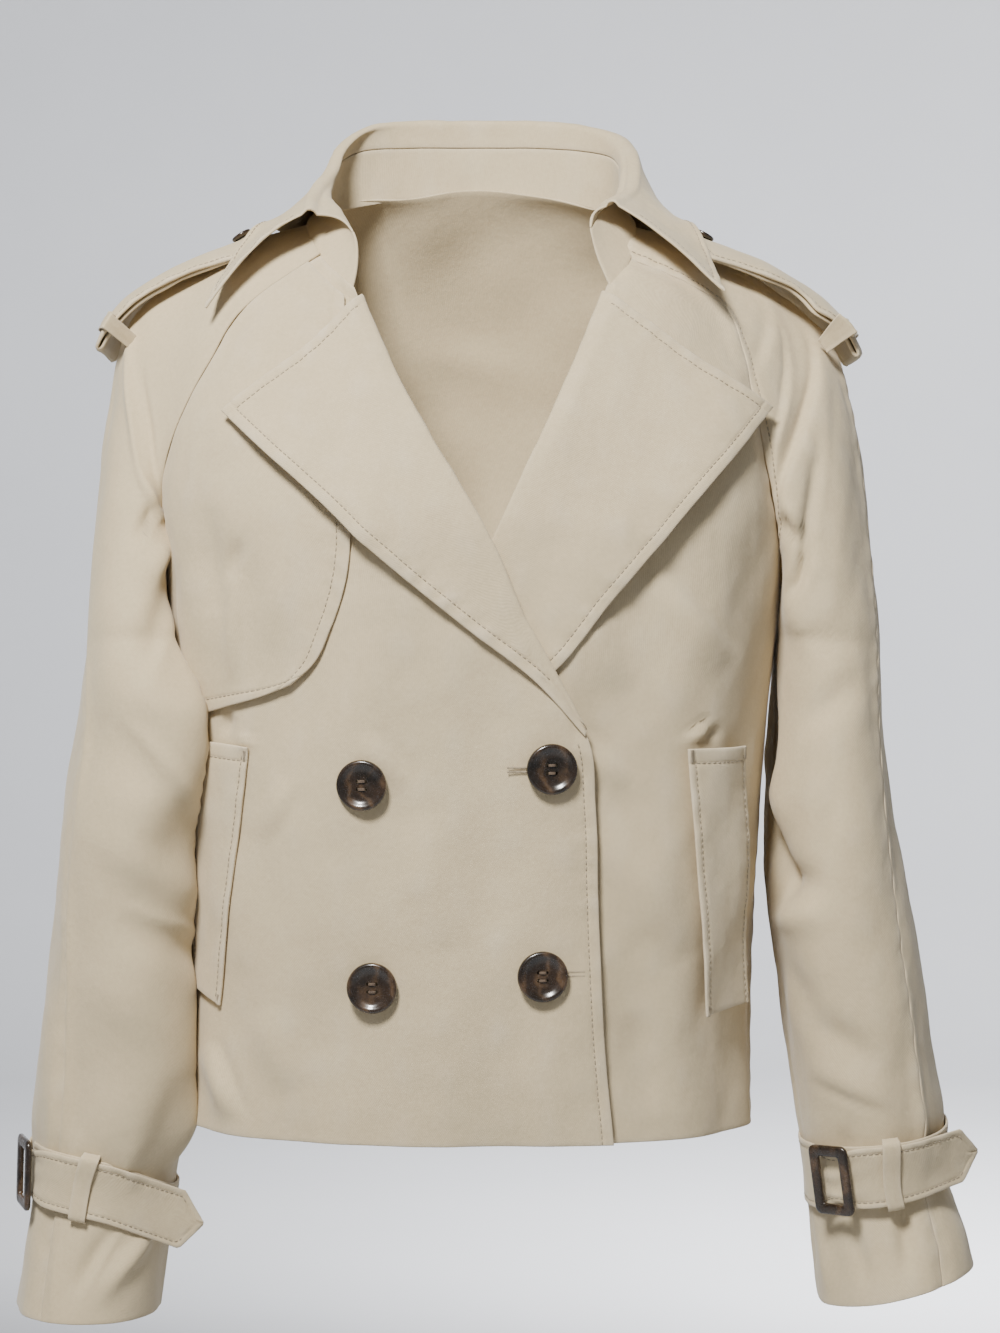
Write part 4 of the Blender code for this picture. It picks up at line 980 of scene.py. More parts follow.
def mottled(w: Wiring, place: object, scale: float,
            contrast: float) -> bpy.types.NodeSocket:
    """Tone of the mottle group at a place, with its scale and contrast."""
    return w.group(mottle_group(), {"Vector": place, "Scale": scale,
                                    "Contrast": contrast}).outputs["Tone"]


@cache
def weave_group() -> bpy.types.NodeTree:
    """Diagonal twill ribs with uneven yarns, in metres on the cloth.

    Returns:
        The group: Vector, Ribs a metre and Slub in, Height and Tone out.
    """
    w, enter, leave = new_group("twill_weave", {"Ribs": 900.0, "Slub": 0.5}, ["Height", "Tone"])
    axes = w.add("SeparateXYZ", {0: enter.outputs["Vector"]})
    turn = w.math("MULTIPLY", enter.outputs["Ribs"], 2 * math.pi)
    slope = w.math("ADD", axes.outputs["X"], w.math("MULTIPLY", axes.outputs["Y"], 0.62))
    wander = w.add("TexNoise", {"Vector": enter.outputs["Vector"], "Scale": 160.0, "Detail": 3.0})
    rib = w.math("SINE", w.math("ADD", w.math("MULTIPLY", slope, turn),
                                w.math("MULTIPLY", wander.outputs["Fac"], 5.0)))
    yarn = w.math("SINE", w.math("MULTIPLY", axes.outputs["Y"], w.math("MULTIPLY", turn, 1.9)))
    fleck = w.add("TexNoise", {"Vector": enter.outputs["Vector"], "Scale": 1300.0, "Detail": 2.0})
    slub = w.math("MULTIPLY", w.math("SUBTRACT", fleck.outputs["Fac"], 0.5),
                  enter.outputs["Slub"])
    height = w.math("ADD", w.math("MULTIPLY", rib, 0.32), w.math("MULTIPLY", yarn, 0.12))
    w.put(leave.inputs["Height"], w.math("ADD", w.math("ADD", height, 0.5), slub))
    w.put(leave.inputs["Tone"], w.math("ADD", w.math("MULTIPLY", slub, 1.6),
                                       w.math("MULTIPLY", rib, 0.5)))
    return w.tree


@cache
def wear_and_highlight_group() -> bpy.types.NodeTree:
    """Lightening where edges and puckers stand proud: wear along the edges, painted highlight on
    the raised puckers.

    Returns:
        The group: Vector and Amount in, Mask out.
    """
    w, enter, leave = new_group("edge_wear_and_highlight", {"Amount": 0.5}, ["Mask"])
    proud = w.add("Attribute", None, attribute_name="wear_and_highlight").outputs["Fac"]
    patchy = w.add("TexNoise", {"Vector": enter.outputs["Vector"], "Scale": 55.0, "Detail": 3.0})
    mask = w.math("MULTIPLY", w.math("MULTIPLY", proud, patchy.outputs["Fac"]),
                  enter.outputs["Amount"])
    w.put(leave.inputs["Mask"], w.add("Math", {0: mask, 1: 0.0}, operation="ADD",
                                      use_clamp=True).outputs[0])
    return w.tree


class Finish:
    """A finish with one material, made when first used."""

    name = "finish"
    slot = ""

    def material(self) -> bpy.types.Material:
        """The finish's material.

        Returns:
            The material, built on the first call.
        """
        known = bpy.data.materials.get(self.name)
        if known:
            return known
        made = bpy.data.materials.new(self.name)
        made.use_nodes = True
        self.wire(Wiring(made.node_tree), made.node_tree.nodes["Principled BSDF"])
        return made

    def wire(self, w: Wiring, shader: bpy.types.Node) -> None:
        """Wires the material's nodes."""
        raise NotImplementedError


@dataclass(frozen=True)
class TwillFinish(Finish):
    """Matte stone cotton twill."""

    name: str = "stone_cotton_twill"
    slot: str = "stone_twill"
    light: Rgba = (0.62, 0.51, 0.325, 1)
    dark: Rgba = (0.515, 0.415, 0.255, 1)
    # Tint for edge wear and for the painted highlight on proud relief.
    wear_and_highlight_tint: Rgba = (0.72, 0.64, 0.53, 1)
    ribs: float = 900.0

    def wire(self, w: Wiring, shader: bpy.types.Node) -> None:
        """Wires tone, weave, crumple, and lightening by edge wear and painted highlight on proud
        relief.

        Args:
            w: wiring of the material.
            shader: its Principled shader.
        """
        place = w.add("TexCoord")
        cloth = w.add("UVMap", None, uv_map="cloth").outputs["UV"]
        solid = place.outputs["Object"]
        cloudy = mottled(w, solid, 14.0, 0.9)
        heather = mottled(w, solid, 420.0, 1.3)
        weave = w.group(weave_group(), {"Vector": cloth, "Ribs": self.ribs, "Slub": 0.7})
        tone = w.math("ADD", w.math("MULTIPLY", cloudy, 0.5), w.math("MULTIPLY", heather, 0.5))
        tone = w.math("ADD", tone, w.math("MULTIPLY", weave.outputs["Tone"], 0.22))
        # Lighter tint where the mask is high: edge wear, and painted highlight on proud puckers.
        wear_and_highlight_mask = w.group(wear_and_highlight_group(), {"Vector": solid, "Amount": 0.55})
        base = w.mix(tone, self.dark, self.light)
        w.put(shader.inputs["Base Color"], w.mix(wear_and_highlight_mask.outputs["Mask"], base, self.wear_and_highlight_tint))
        w.put(shader.inputs["Roughness"], w.math("ADD", 0.8, w.math("MULTIPLY", heather, 0.12)))
        crumple = w.add("TexNoise", {"Vector": solid, "Scale": 120.0, "Detail": 6.0,
                                     "Roughness": 0.6})
        soft = w.add("Bump", {"Height": crumple.outputs["Fac"], "Strength": 0.35,
                              "Distance": 0.0012})
        fine = w.add("Bump", {"Height": weave.outputs["Height"], "Strength": 0.55,
                              "Distance": 0.00014, "Normal": soft.outputs["Normal"]})
        w.put(shader.inputs["Normal"], fine.outputs["Normal"])
        w.fill(shader, {"Sheen Weight": 0.22, "Sheen Roughness": 0.55,
                        "Specular IOR Level": 0.3})


@dataclass(frozen=True)
class ThreadFinish(Finish):
    """Polyester-cotton sewing thread, coloured darker than the cloth as painted shade of the needle
    holes.
    """

    name: str = "stone_thread_painted_shade"
    slot: str = "stone_twill"
    # Darker than the cloth: painted shade of the needle holes and stitch channels along each row.
    light: Rgba = (0.42, 0.35, 0.25, 1)
    dark: Rgba = (0.26, 0.21, 0.145, 1)

    def wire(self, w: Wiring, shader: bpy.types.Node) -> None:
        """Wires tone and twist.

        Args:
            w: wiring of the material.
            shader: its Principled shader.
        """
        place = w.add("TexCoord").outputs["Object"]
        cloudy = mottled(w, place, 300.0, 1.2)
        wear_and_highlight_mask = w.group(wear_and_highlight_group(), {"Vector": place, "Amount": 0.4})
        base = w.mix(cloudy, self.dark, self.light)
        w.put(shader.inputs["Base Color"], w.mix(wear_and_highlight_mask.outputs["Mask"], base, self.light))
        twist = w.add("TexWave", {"Vector": place, "Scale": 900.0, "Distortion": 2.0})
        bump = w.add("Bump", {"Height": twist.outputs["Fac"], "Strength": 0.5,
                              "Distance": 0.00008})
        w.put(shader.inputs["Normal"], bump.outputs["Normal"])
        w.fill(shader, {"Roughness": 0.55, "Sheen Weight": 0.1})


@dataclass(frozen=True)
class DarkThreadFinish(ThreadFinish):
    """Dark thread that holds the buttons."""

    name: str = "brown_thread"
    slot: str = "dark_horn"
    light: Rgba = (0.16, 0.11, 0.07, 1)
    dark: Rgba = (0.07, 0.045, 0.03, 1)


@dataclass(frozen=True)
class HornFinish(Finish):
    """Polished dark brown horn look with lighter streaks."""

    name: str = "polished_dark_horn"
    slot: str = "dark_horn"
    deep: Rgba = (0.008, 0.006, 0.004, 1)
    brown: Rgba = (0.028, 0.016, 0.009, 1)
    amber: Rgba = (0.085, 0.05, 0.026, 1)

    def wire(self, w: Wiring, shader: bpy.types.Node) -> None:
        """Wires streaks, clouds and gloss.

        Args:
            w: wiring of the material.
            shader: its Principled shader.
        """
        place = w.add("TexCoord").outputs["Object"]
        cloudy = mottled(w, place, 55.0, 1.8)
        small = mottled(w, place, 240.0, 1.6)
        streak = w.add("TexWave", {"Vector": place, "Scale": 26.0, "Distortion": 9.0,
                                   "Detail": 3.0, "Detail Scale": 2.0})
        share = w.math("MULTIPLY", w.math("POWER", streak.outputs["Fac"], 3.0), cloudy)
        base = w.mix(cloudy, self.deep, self.brown)
        base = w.mix(share, base, self.amber)
        # Lightened towards amber by the same mask: on the buckles, along the middle of each face of
        # the bar.
        wear_and_highlight_mask = w.group(wear_and_highlight_group(), {"Vector": place, "Amount": 0.7})
        w.put(shader.inputs["Base Color"], w.mix(wear_and_highlight_mask.outputs["Mask"], base, self.amber))
        w.put(shader.inputs["Roughness"], w.math("ADD", 0.2, w.math("MULTIPLY", small, 0.14)))
        bump = w.add("Bump", {"Height": small, "Strength": 0.25, "Distance": 0.0001})
        w.put(shader.inputs["Normal"], bump.outputs["Normal"])
        w.fill(shader, {"Coat Weight": 0.5, "Coat Roughness": 0.12})


@dataclass(frozen=True)
class FloorFinish(Finish):
    """Pale seamless paper."""

    name: str = "pale_paper"
    light: Rgba = (0.62, 0.63, 0.65, 1)
    dark: Rgba = (0.58, 0.59, 0.61, 1)

    def wire(self, w: Wiring, shader: bpy.types.Node) -> None:
        """Wires a faint unevenness.

        Args:
            w: wiring of the material.
            shader: its Principled shader.
        """
        place = w.add("TexCoord").outputs["Object"]
        cloudy = mottled(w, place, 1.5, 0.8)
        w.put(shader.inputs["Base Color"], w.mix(cloudy, self.dark, self.light))
        w.fill(shader, {"Roughness": 0.95, "Emission Color": self.light,
                        "Emission Strength": 0.11})


CLOTH_LOOK, THREAD_LOOK = TwillFinish(), ThreadFinish()
HORN_LOOK, TIE_LOOK = HornFinish(), DarkThreadFinish()
FRONT, BEHIND, ABOVE = (0.0, -1.0, 0.0), (0.0, 1.0, 0.0), (0.0, 0.0, 1.0)

# Creases of the front, shared by all that lies on it: distance and height of both ends.
FRONT_CREASES = folds(
    (-133, -208, -134, -271, 4.29, 5), (-148, -170, -146, -234, -4.29, 8),
    (-129, -190, -137, -214, -2.97, 4), (-104, -185, -112, -255, 2.64, 10),
    (74, -346, 124, -424, 5.61, 15), (120, -303, 136, -292, 4.29, 4, 3.3),
    (129, -292, 138, -303, -3.3, 4), (-140, -302, -137, -287, -3.96, 4),
    (-132, -300, -122, -306, 2.97, 4, 1.98), (-153, -478, -133, -520, 5.94, 8, 3.3),
    (-118, -455, -100, -500, 3.3, 12), (92, -455, 104, -515, -3.96, 12),
    (-30, -345, -8, -420, 3.3, 14), (10, -350, 20, -430, -2.97, 14),
    (-100, -325, -118, -360, 2.97, 8, 1.65), (60, -230, 90, -275, 3.3, 12),
    (100, -210, 145, -262, 4.62, 12, 1.98), (-60, -300, -35, -330, 2.97, 9, 1.32),
    (150, -330, 158, -420, 3.3, 9), (58, -300, 88, -330, 2.97, 9, 1.32))
# Creases of the back, as angle round from the wearer's left times 2 and height.
BACK_CREASES = folds(
    (-120, -215, -60, -190, 3.84, 12, 1.92), (120, -215, 60, -190, 3.84, 12, 1.92),
    (-150, -255, -95, -235, 3.84, 11, 2.16), (150, -255, 95, -235, 3.84, 11, 2.16),
    (-40, -60, 30, -72, -2.4, 12), (-90, -330, -70, -500, 3.6, 16), (60, -300, 85, -510, 3.6, 16),
    (0, -260, 8, -500, -3.12, 16), (-135, -120, -128, -200, 2.4, 10, 0.96),
    (135, -120, 128, -200, 2.4, 10, 0.96))


def front_shape(p: Grid) -> Grid:
    """Creases and sway of the front at points on it."""
    return fold_height(FRONT_CREASES, p[..., 0], p[..., 2]) + sway(p, SOFT_WAVES)


def pucker(lay: Layout, d: Grid) -> Grid:
    """Puckers of a body seam at a distance d from it."""
    return 0.25 * np.sin(lay.low / 3.1 + 2 * np.sin(lay.low / 23)) * np.exp(-(d / 7) ** 2)


@dataclass
class BodyPanels:
    """The two fronts and the back, with the topstitching of the front edge."""

    stitch: float = 6.6
    break_z: float = -302.0
    thread: Thread = field(default_factory=lambda: Thread("body_topstitching"))

    def front(self, sleeve: SleeveCut, edge: Table) -> Sheet:
        """One front, from its side and raglan seam to its front edge.

        Args:
            sleeve: the sleeve on that side.
            edge: its front edge.

        Returns:
            The front as a sheet.
        """
        def surface(u: Grid, v: Grid) -> Grid:
            """Between the side line (u 0) and the front edge (u 1)."""
            (a0, z0), (a1, z1) = BODY.side_line(sleeve, v), BODY.edge_line(edge, v)
            angle, z = a0 * (1 - u) + a1 * u, z0 * (1 - u) + z1 * u
            lift = BODY.layer_right(BODY.place(angle, z)[..., 0], z) if sleeve.sign < 0 else 0.0
            return BODY.place(angle, z, lift)

        def shape(lay: Layout) -> Grid:
            """Creases that die out at the seams."""
            return front_shape(lay.p) * smooth(lay.left, 0, 14) * smooth(lay.high, 0, 14)

        def face(lay: Layout) -> Grid:
            """Stitched front edge below the break, and the seams' puckers."""
            low = 1 - smooth(lay.p[..., 2], self.break_z - 12, self.break_z + 2)
            turned = edge_ripple(lay.right, lay.low, self.stitch, 1.0, 0.3) * low
            return turned + pucker(lay, lay.left) + sway(lay.p, FINE_WAVES)

        return Sheet(f"front_{sleeve.side}", surface, FRONT, shape, face,
                     rims=(SEAM, STITCHED, SEAM, PLAIN), at=(0.5, 0.4))

    def back(self) -> Sheet:
        """The back, side seam to side seam.

        Returns:
            The back as a sheet.
        """
        def surface(u: Grid, v: Grid) -> Grid:
            """Between the wearer's left (u 1) and right (u 0) seams."""
            across = 2 * u - 1
            below, low, t = climb(v)
            angle, z = BODY.back_line(t)
            angle, z = np.where(below, math.pi / 2, angle), np.where(below, low, z)
            rise = 16 * (1 - across ** 2) * smooth(z, -200, 22)
            return BODY.place(math.pi - (math.pi - angle) * across, z + rise)

        def shape(lay: Layout) -> Grid:
            """Creases that die out at the seams."""
            p = lay.p
            high = fold_height(BACK_CREASES, p[..., 0], p[..., 2]) + sway(p, SOFT_WAVES)
            return high * smooth(lay.left, 0, 14) * smooth(lay.right, 0, 14)

        def face(lay: Layout) -> Grid:
            """Seam puckers."""
            return pucker(lay, np.minimum(lay.left, lay.right)) + sway(lay.p, FINE_WAVES)

        return Sheet("back", surface, BEHIND, shape, face, step=3.8,
                     rims=(SEAM, SEAM, SEAM, PLAIN))

    def build(self) -> None:
        """Builds the three panels and their stitching."""
        for sleeve, edge in ((SLEEVE_RIGHT, BODY.edge_right), (SLEEVE_LEFT, BODY.edge_left)):
            sheet = self.front(sleeve, edge).make()
            if sleeve.sign < 0:
                path, normals = sheet.line(Rim.RIGHT, self.stitch)
                keep = path[:, 2] < self.break_z
                self.thread.row(path[keep], normals[keep])
        self.back().make()
        self.thread.make(THREAD_LOOK)


@dataclass
class Sleeves:
    """Two-piece raglan sleeves, topstitched along the raglan seams."""

    stitch: float = 5.0
    thread: Thread = field(default_factory=lambda: Thread("sleeve_topstitching"))

    def half(self, sleeve: SleeveCut, end: int) -> Sheet:
        """One half of a sleeve, from the overarm seam round to the raglan and underarm seam.

        Args:
            sleeve: which sleeve.
            end: +1 for the front half, -1 for the back half.

        Returns:
            The half as a sheet.
        """
        def surface(u: Grid, v: Grid) -> Grid:
            """From the overarm seam (u 0), neck to cuff."""
            t = CUFF * v
            seam = sleeve.overarm.at("q", t)
            return sleeve.surface(t, seam + (end - seam) * u)

        def shape(lay: Layout) -> Grid:
            """Creases that die out at the seams."""
            t = CUFF * lay.v
            seam = sleeve.overarm.at("q", t)
            q = seam + (end - seam) * lay.u
            high = fold_height(sleeve.creases, t * STATION_MM, q * TURN_MM)
            high = high + sway(lay.p, SOFT_WAVES)
            return high * smooth(lay.left, 0, 9) * smooth(lay.right, 0, 9)

        def face(lay: Layout) -> Grid:
            """Raglan stitching down to the underarm, and seam puckers."""
            raglan = 1 - smooth(lay.v * CUFF, SEAM_END - 0.6, SEAM_END)
            turned = edge_ripple(lay.right, lay.low, self.stitch, 1.5 + end, 0.34) * raglan
            puckers = 0.3 * np.sin(lay.low / 3.3 + 2 * np.sin(lay.low / 27) + end)
            return turned + puckers * np.exp(-(lay.left / 6) ** 2) + sway(lay.p, FINE_WAVES)

        name = f"sleeve_{sleeve.side}_{'front' if end > 0 else 'back'}"
        return Sheet(name, surface, FRONT if end > 0 else BEHIND, shape, face, step=3.3,
                     rims=(PLAIN + (2.5, 5.0), NARROW, PLAIN, SEAM))

    def build(self) -> None:
        """Builds both sleeves and their stitching."""
        for sleeve in (SLEEVE_RIGHT, SLEEVE_LEFT):
            for end in (1, -1):
                sheet = self.half(sleeve, end).make()
                path, normals = sheet.line(Rim.RIGHT, self.stitch, 4.0)
                down = travelled(path, 0)
                rows = sheet.lay.v[:, -1] * CUFF
                reach = np.interp(SEAM_END, rows, sheet.lay.low[:, -1]) - 8.0
                self.thread.row(path[down < reach], normals[down < reach])
        self.thread.make(THREAD_LOOK)


@dataclass
class Lapels:
    """Turned-out lapels: roll-line height, outer edge height and distance, gorge to break."""

    stitch: float = 6.6
    thread: Thread = field(default_factory=lambda: Thread("lapel_topstitching"))
    right: Table = Table("t", {"t": list(range(7)),
                               "roll": [-52, -100, -150, -200, -240, -275, -298],
                               "z": [-121, -152, -184, -214, -241, -269, -300],
                               "x": [-135, -103, -68, -34, -1, 35, 63]})
    left: Table = Table("t", {"t": list(range(7)), "roll": [-47, -90, -130, -165, -195, -225, -250],
                              "z": [-115, -152, -190, -228, -265, -284, -296],
                              "x": [167, 138, 107, 76, 46, 10, -14]})

    def sheet(self, side: str) -> Sheet:
        """One lapel, rolled over its roll line and lying on the front.

        Args:
            side: "right" or "left", the wearer's.

        Returns:
            The lapel as a sheet.
        """
        right = side == "right"
        rows, edge = (self.right, BODY.edge_right) if right else (self.left, BODY.edge_left)

        def under(x: Grid, z: Grid) -> Grid:
            """Height of what the lapel lies on."""
            return BODY.layer_right(x, z) + 2.2 * smooth(-x, 34, 58) if right else 0 * x

        def surface(u: Grid, v: Grid) -> Grid:
            """From under the roll (u 0) over it to the outer edge (u 1), gorge to break."""
            t = 6 * v
            zr, zo, xo = rows.at("roll", t), rows.at("z", t), rows.at("x", t)
            xr = edge.at("x", zr)
            w = np.clip((u - 0.06) / 0.94, 0, 1)
            x, z = xr + (xo - xr) * w, zr + (zo - zr) * w
            reach = np.hypot(xo - xr, zo - zr) * w
            roll = 3.4 - 0.45 * t if right else 0.4 + 3.0 * smooth(-t, -3.4, -1.2)
            lift = under(x, z) + CLOTH + 1.0
            lift = lift + roll * np.exp(-(reach / 24) ** 2) * smooth(reach, -4, 9)
            lift = lift + 1.0 * smooth(w, 0.55, 1) * smooth(roll, 0.6, 1.4)
            lift = lift + 7.5 * smooth(w, 0.35, 1) * np.exp(-((t - 1.2) / 2.0) ** 2)
            over = BODY.on_front(x, z, lift)
            base = BODY.layer_right(xr, zr) if right else 0 * xr
            r = (lift - base) / 2
            bend = np.clip(u / 0.06, 0, 1) * math.pi - math.pi / 2
            foot = BODY.on_front(x, z, base)
            normal = unit(over - foot)
            ahead = unit(BODY.on_front(x + (xo - xr) * 0.02, z + (zo - zr) * 0.02, lift) - over)
            round_ = foot + normal * (r * (1 + np.sin(bend)))[..., None]
            round_ = round_ - ahead * (r * 1.15 * np.cos(bend))[..., None]
            return np.where((u < 0.06)[..., None], round_, over)

        def shape(lay: Layout) -> Grid:
            """The front's creases, and the lapel's own soft waves near its edge."""
            free = smooth(lay.left, 6, 50)
            wave = 0.7 * np.sin(lay.low / 26 + (0.6 if right else 2.2)) * free
            return 0.6 * front_shape(lay.p) * free + np.abs(wave)

        def face(lay: Layout) -> Grid:
            """Puckered topstitching on the outer edge and the gorge."""
            turned = ripples(lay, (Rim.RIGHT, self.stitch, 0.7, 0.42),
                             (Rim.LOW, self.stitch, 2.1, 0.36))
            return turned * smooth(lay.left, 4, 12) + sway(lay.p, FINE_WAVES)

        return Sheet(f"lapel_{side}", surface, FRONT, shape, face, step=2.8,
                     rims=(PLAIN + (1.6, 3.0, 4.6, 6.4), STITCHED, STITCHED, PLAIN),
                     at=(0.5, 0.4), held=Held.FOLDED, rests_on=(f"front_{side}",))

    def build(self) -> None:
        """Builds both lapels and their stitching."""
        for side in ("right", "left"):
            sheet = self.sheet(side).make()
            self.thread.row(*sheet.line(Rim.RIGHT, self.stitch, self.stitch))
            self.thread.row(*sheet.line(Rim.LOW, self.stitch, 10.0, self.stitch))
        self.thread.make(THREAD_LOOK)


@dataclass
class StormFlap:
    """Storm flap on the wearer's right, sewn in at the neck and raglan seam."""

    stitch: float = 8.3
    edge: Table = Table("z", {"z": [-47, -110, -150, -184, -216, -240, -262, -272],
                              "x": [-73, -69, -66, -65, -68, -76, -88, -100]})
    hem: Table = Table("x", {"x": [-100, -118, -136, -154, -170],
                             "z": [-272, -279, -284, -289, -293]})
    top_z: float = -27.0
    side_z: float = -293.0
    side_x: float = -167.0
    tuck: float = 7.0      # how far its side draws in towards the hem, under the sleeve

    def sheet(self) -> Sheet:
        """The flap as a sheet, from its front edge (u 0) to the seam, neck to hem."""
        def surface(u: Grid, v: Grid) -> Grid:
            """Between the front edge and the raglan seam, with a curved hem."""
            first, last = self.edge.columns["z"][0], self.edge.columns["z"][-1]
            zf = first + (last - first) * v
            zs = self.top_z + (self.side_z - self.top_z) * v
            seam = 2.5 - BODY.seam_right.at("x", zs)
            low = self.side_x + self.tuck * smooth(-zs, 225, 290)
            side = seam + smooth(-zs, 150, 215) * (np.maximum(seam, low) - seam)
            x = self.edge.at("x", zf) * (1 - u) + side * u
            z = zf * (1 - u) + zs * u
            low_x = self.edge.columns["x"][-1] * (1 - u) + (self.side_x + self.tuck) * u
            low_z = last * (1 - u) + self.side_z * u
            z = z + smooth(v, 0.5, 1) * (self.hem.at("z", low_x) - low_z)
            return BODY.on_front(x, z, BODY.over_front(x, z))

        def shape(lay: Layout) -> Grid:
            """The front's creases, and a hem that stands off a little."""
            free = smooth(lay.right, 0, 12)
            off = 1.2 * np.exp(-(lay.high / 26) ** 2) * (1 + np.sin(lay.left / 17 + 0.8))
            return front_shape(lay.p) * free + off * free

        def face(lay: Layout) -> Grid:
            """Puckered stitching along the hem and the front edge."""
            return ripples(lay, (Rim.HIGH, self.stitch, 1.3, 0.36),
                           (Rim.LEFT, self.stitch, 2.9, 0.3)) + sway(lay.p, FINE_WAVES)

        return Sheet("gun_flap", surface, FRONT, shape, face, step=2.8,
                     rims=(WIDE, PLAIN, PLAIN, WIDE), held=Held.LAID, rests_on=("front_right",))

    def build(self) -> None:
        """Builds the flap and its stitching."""
        sheet, thread = self.sheet().make(), Thread("flap_topstitching")
        thread.row(*sheet.line(Rim.HIGH, self.stitch, self.stitch))
        thread.row(*sheet.line(Rim.LEFT, self.stitch, 60.0, self.stitch))
        thread.make(THREAD_LOOK)


@dataclass
class Welts:
    """Single-welt pockets: corners as distance and height, and their stitching."""

    stitch: float = 4.0
    top: float = 8.3
    thread: Thread = field(default_factory=lambda: Thread("welt_topstitching"))
    right: Corners = ((-124, -307), (-158, -303), (-161, -446), (-143, -456))
    left: Corners = ((117, -307), (151, -306), (154.5, -455), (129, -460))

    def sheet(self, side: str, corners: Corners) -> Sheet:
        """One welt.

        Args:
            side: the wearer's side.
            corners: top front, top back, bottom back and bottom front.

        Returns:
            The welt as a sheet.
        """
        a, b, c, d = (np.array(corner, float) for corner in corners)

        def surface(u: Grid, v: Grid) -> Grid:
            """Front edge (u 0) to back edge, top to bottom."""
            u, v = u[..., None], v[..., None]
            flat = (a * (1 - u) + b * u) * (1 - v) + (d * (1 - u) + c * u) * v
            x, z = flat[..., 0], flat[..., 1]
            return BODY.on_front(x, z, BODY.over_front(x, z))

        def face(lay: Layout) -> Grid:
            """Stitched all round, a little padded."""
            edge = ripples(lay, (Rim.LEFT, self.stitch, 0.4, 0.26),
                           (Rim.RIGHT, self.stitch, 1.9, 0.26), (Rim.LOW, self.top, 1.1, 0.22))
            return edge + 0.35 + sway(lay.p, FINE_WAVES)

        return Sheet(f"welt_{side}", surface, FRONT,
                     lambda lay: front_shape(lay.p), face, step=2.6,
                     rims=(NARROW, NARROW, WIDE, PLAIN), held=Held.LAID,
                     rests_on=(f"front_{side}",))

    def build(self) -> None:
        """Builds both welts, their stitching and bar tacks."""
        for side, corners in (("right", self.right), ("left", self.left)):
            sheet = self.sheet(side, corners).make()
            self.thread.row(*sheet.line(Rim.LEFT, self.stitch, 3.0, 3.0))
            self.thread.row(*sheet.line(Rim.RIGHT, self.stitch, 3.0, 3.0))
            self.thread.row(*sheet.line(Rim.LOW, self.top, 4.0, 4.0))
            for rim in (Rim.LEFT, Rim.RIGHT):
                path, normals = sheet.line(rim, 1.8, 1.0)
                self.thread.bar(path[0], path[min(4, len(path) - 1)], normals[0], 2.0)
                self.thread.bar(path[-5], path[-1], normals[-1], 2.0)
        self.thread.make(THREAD_LOOK)


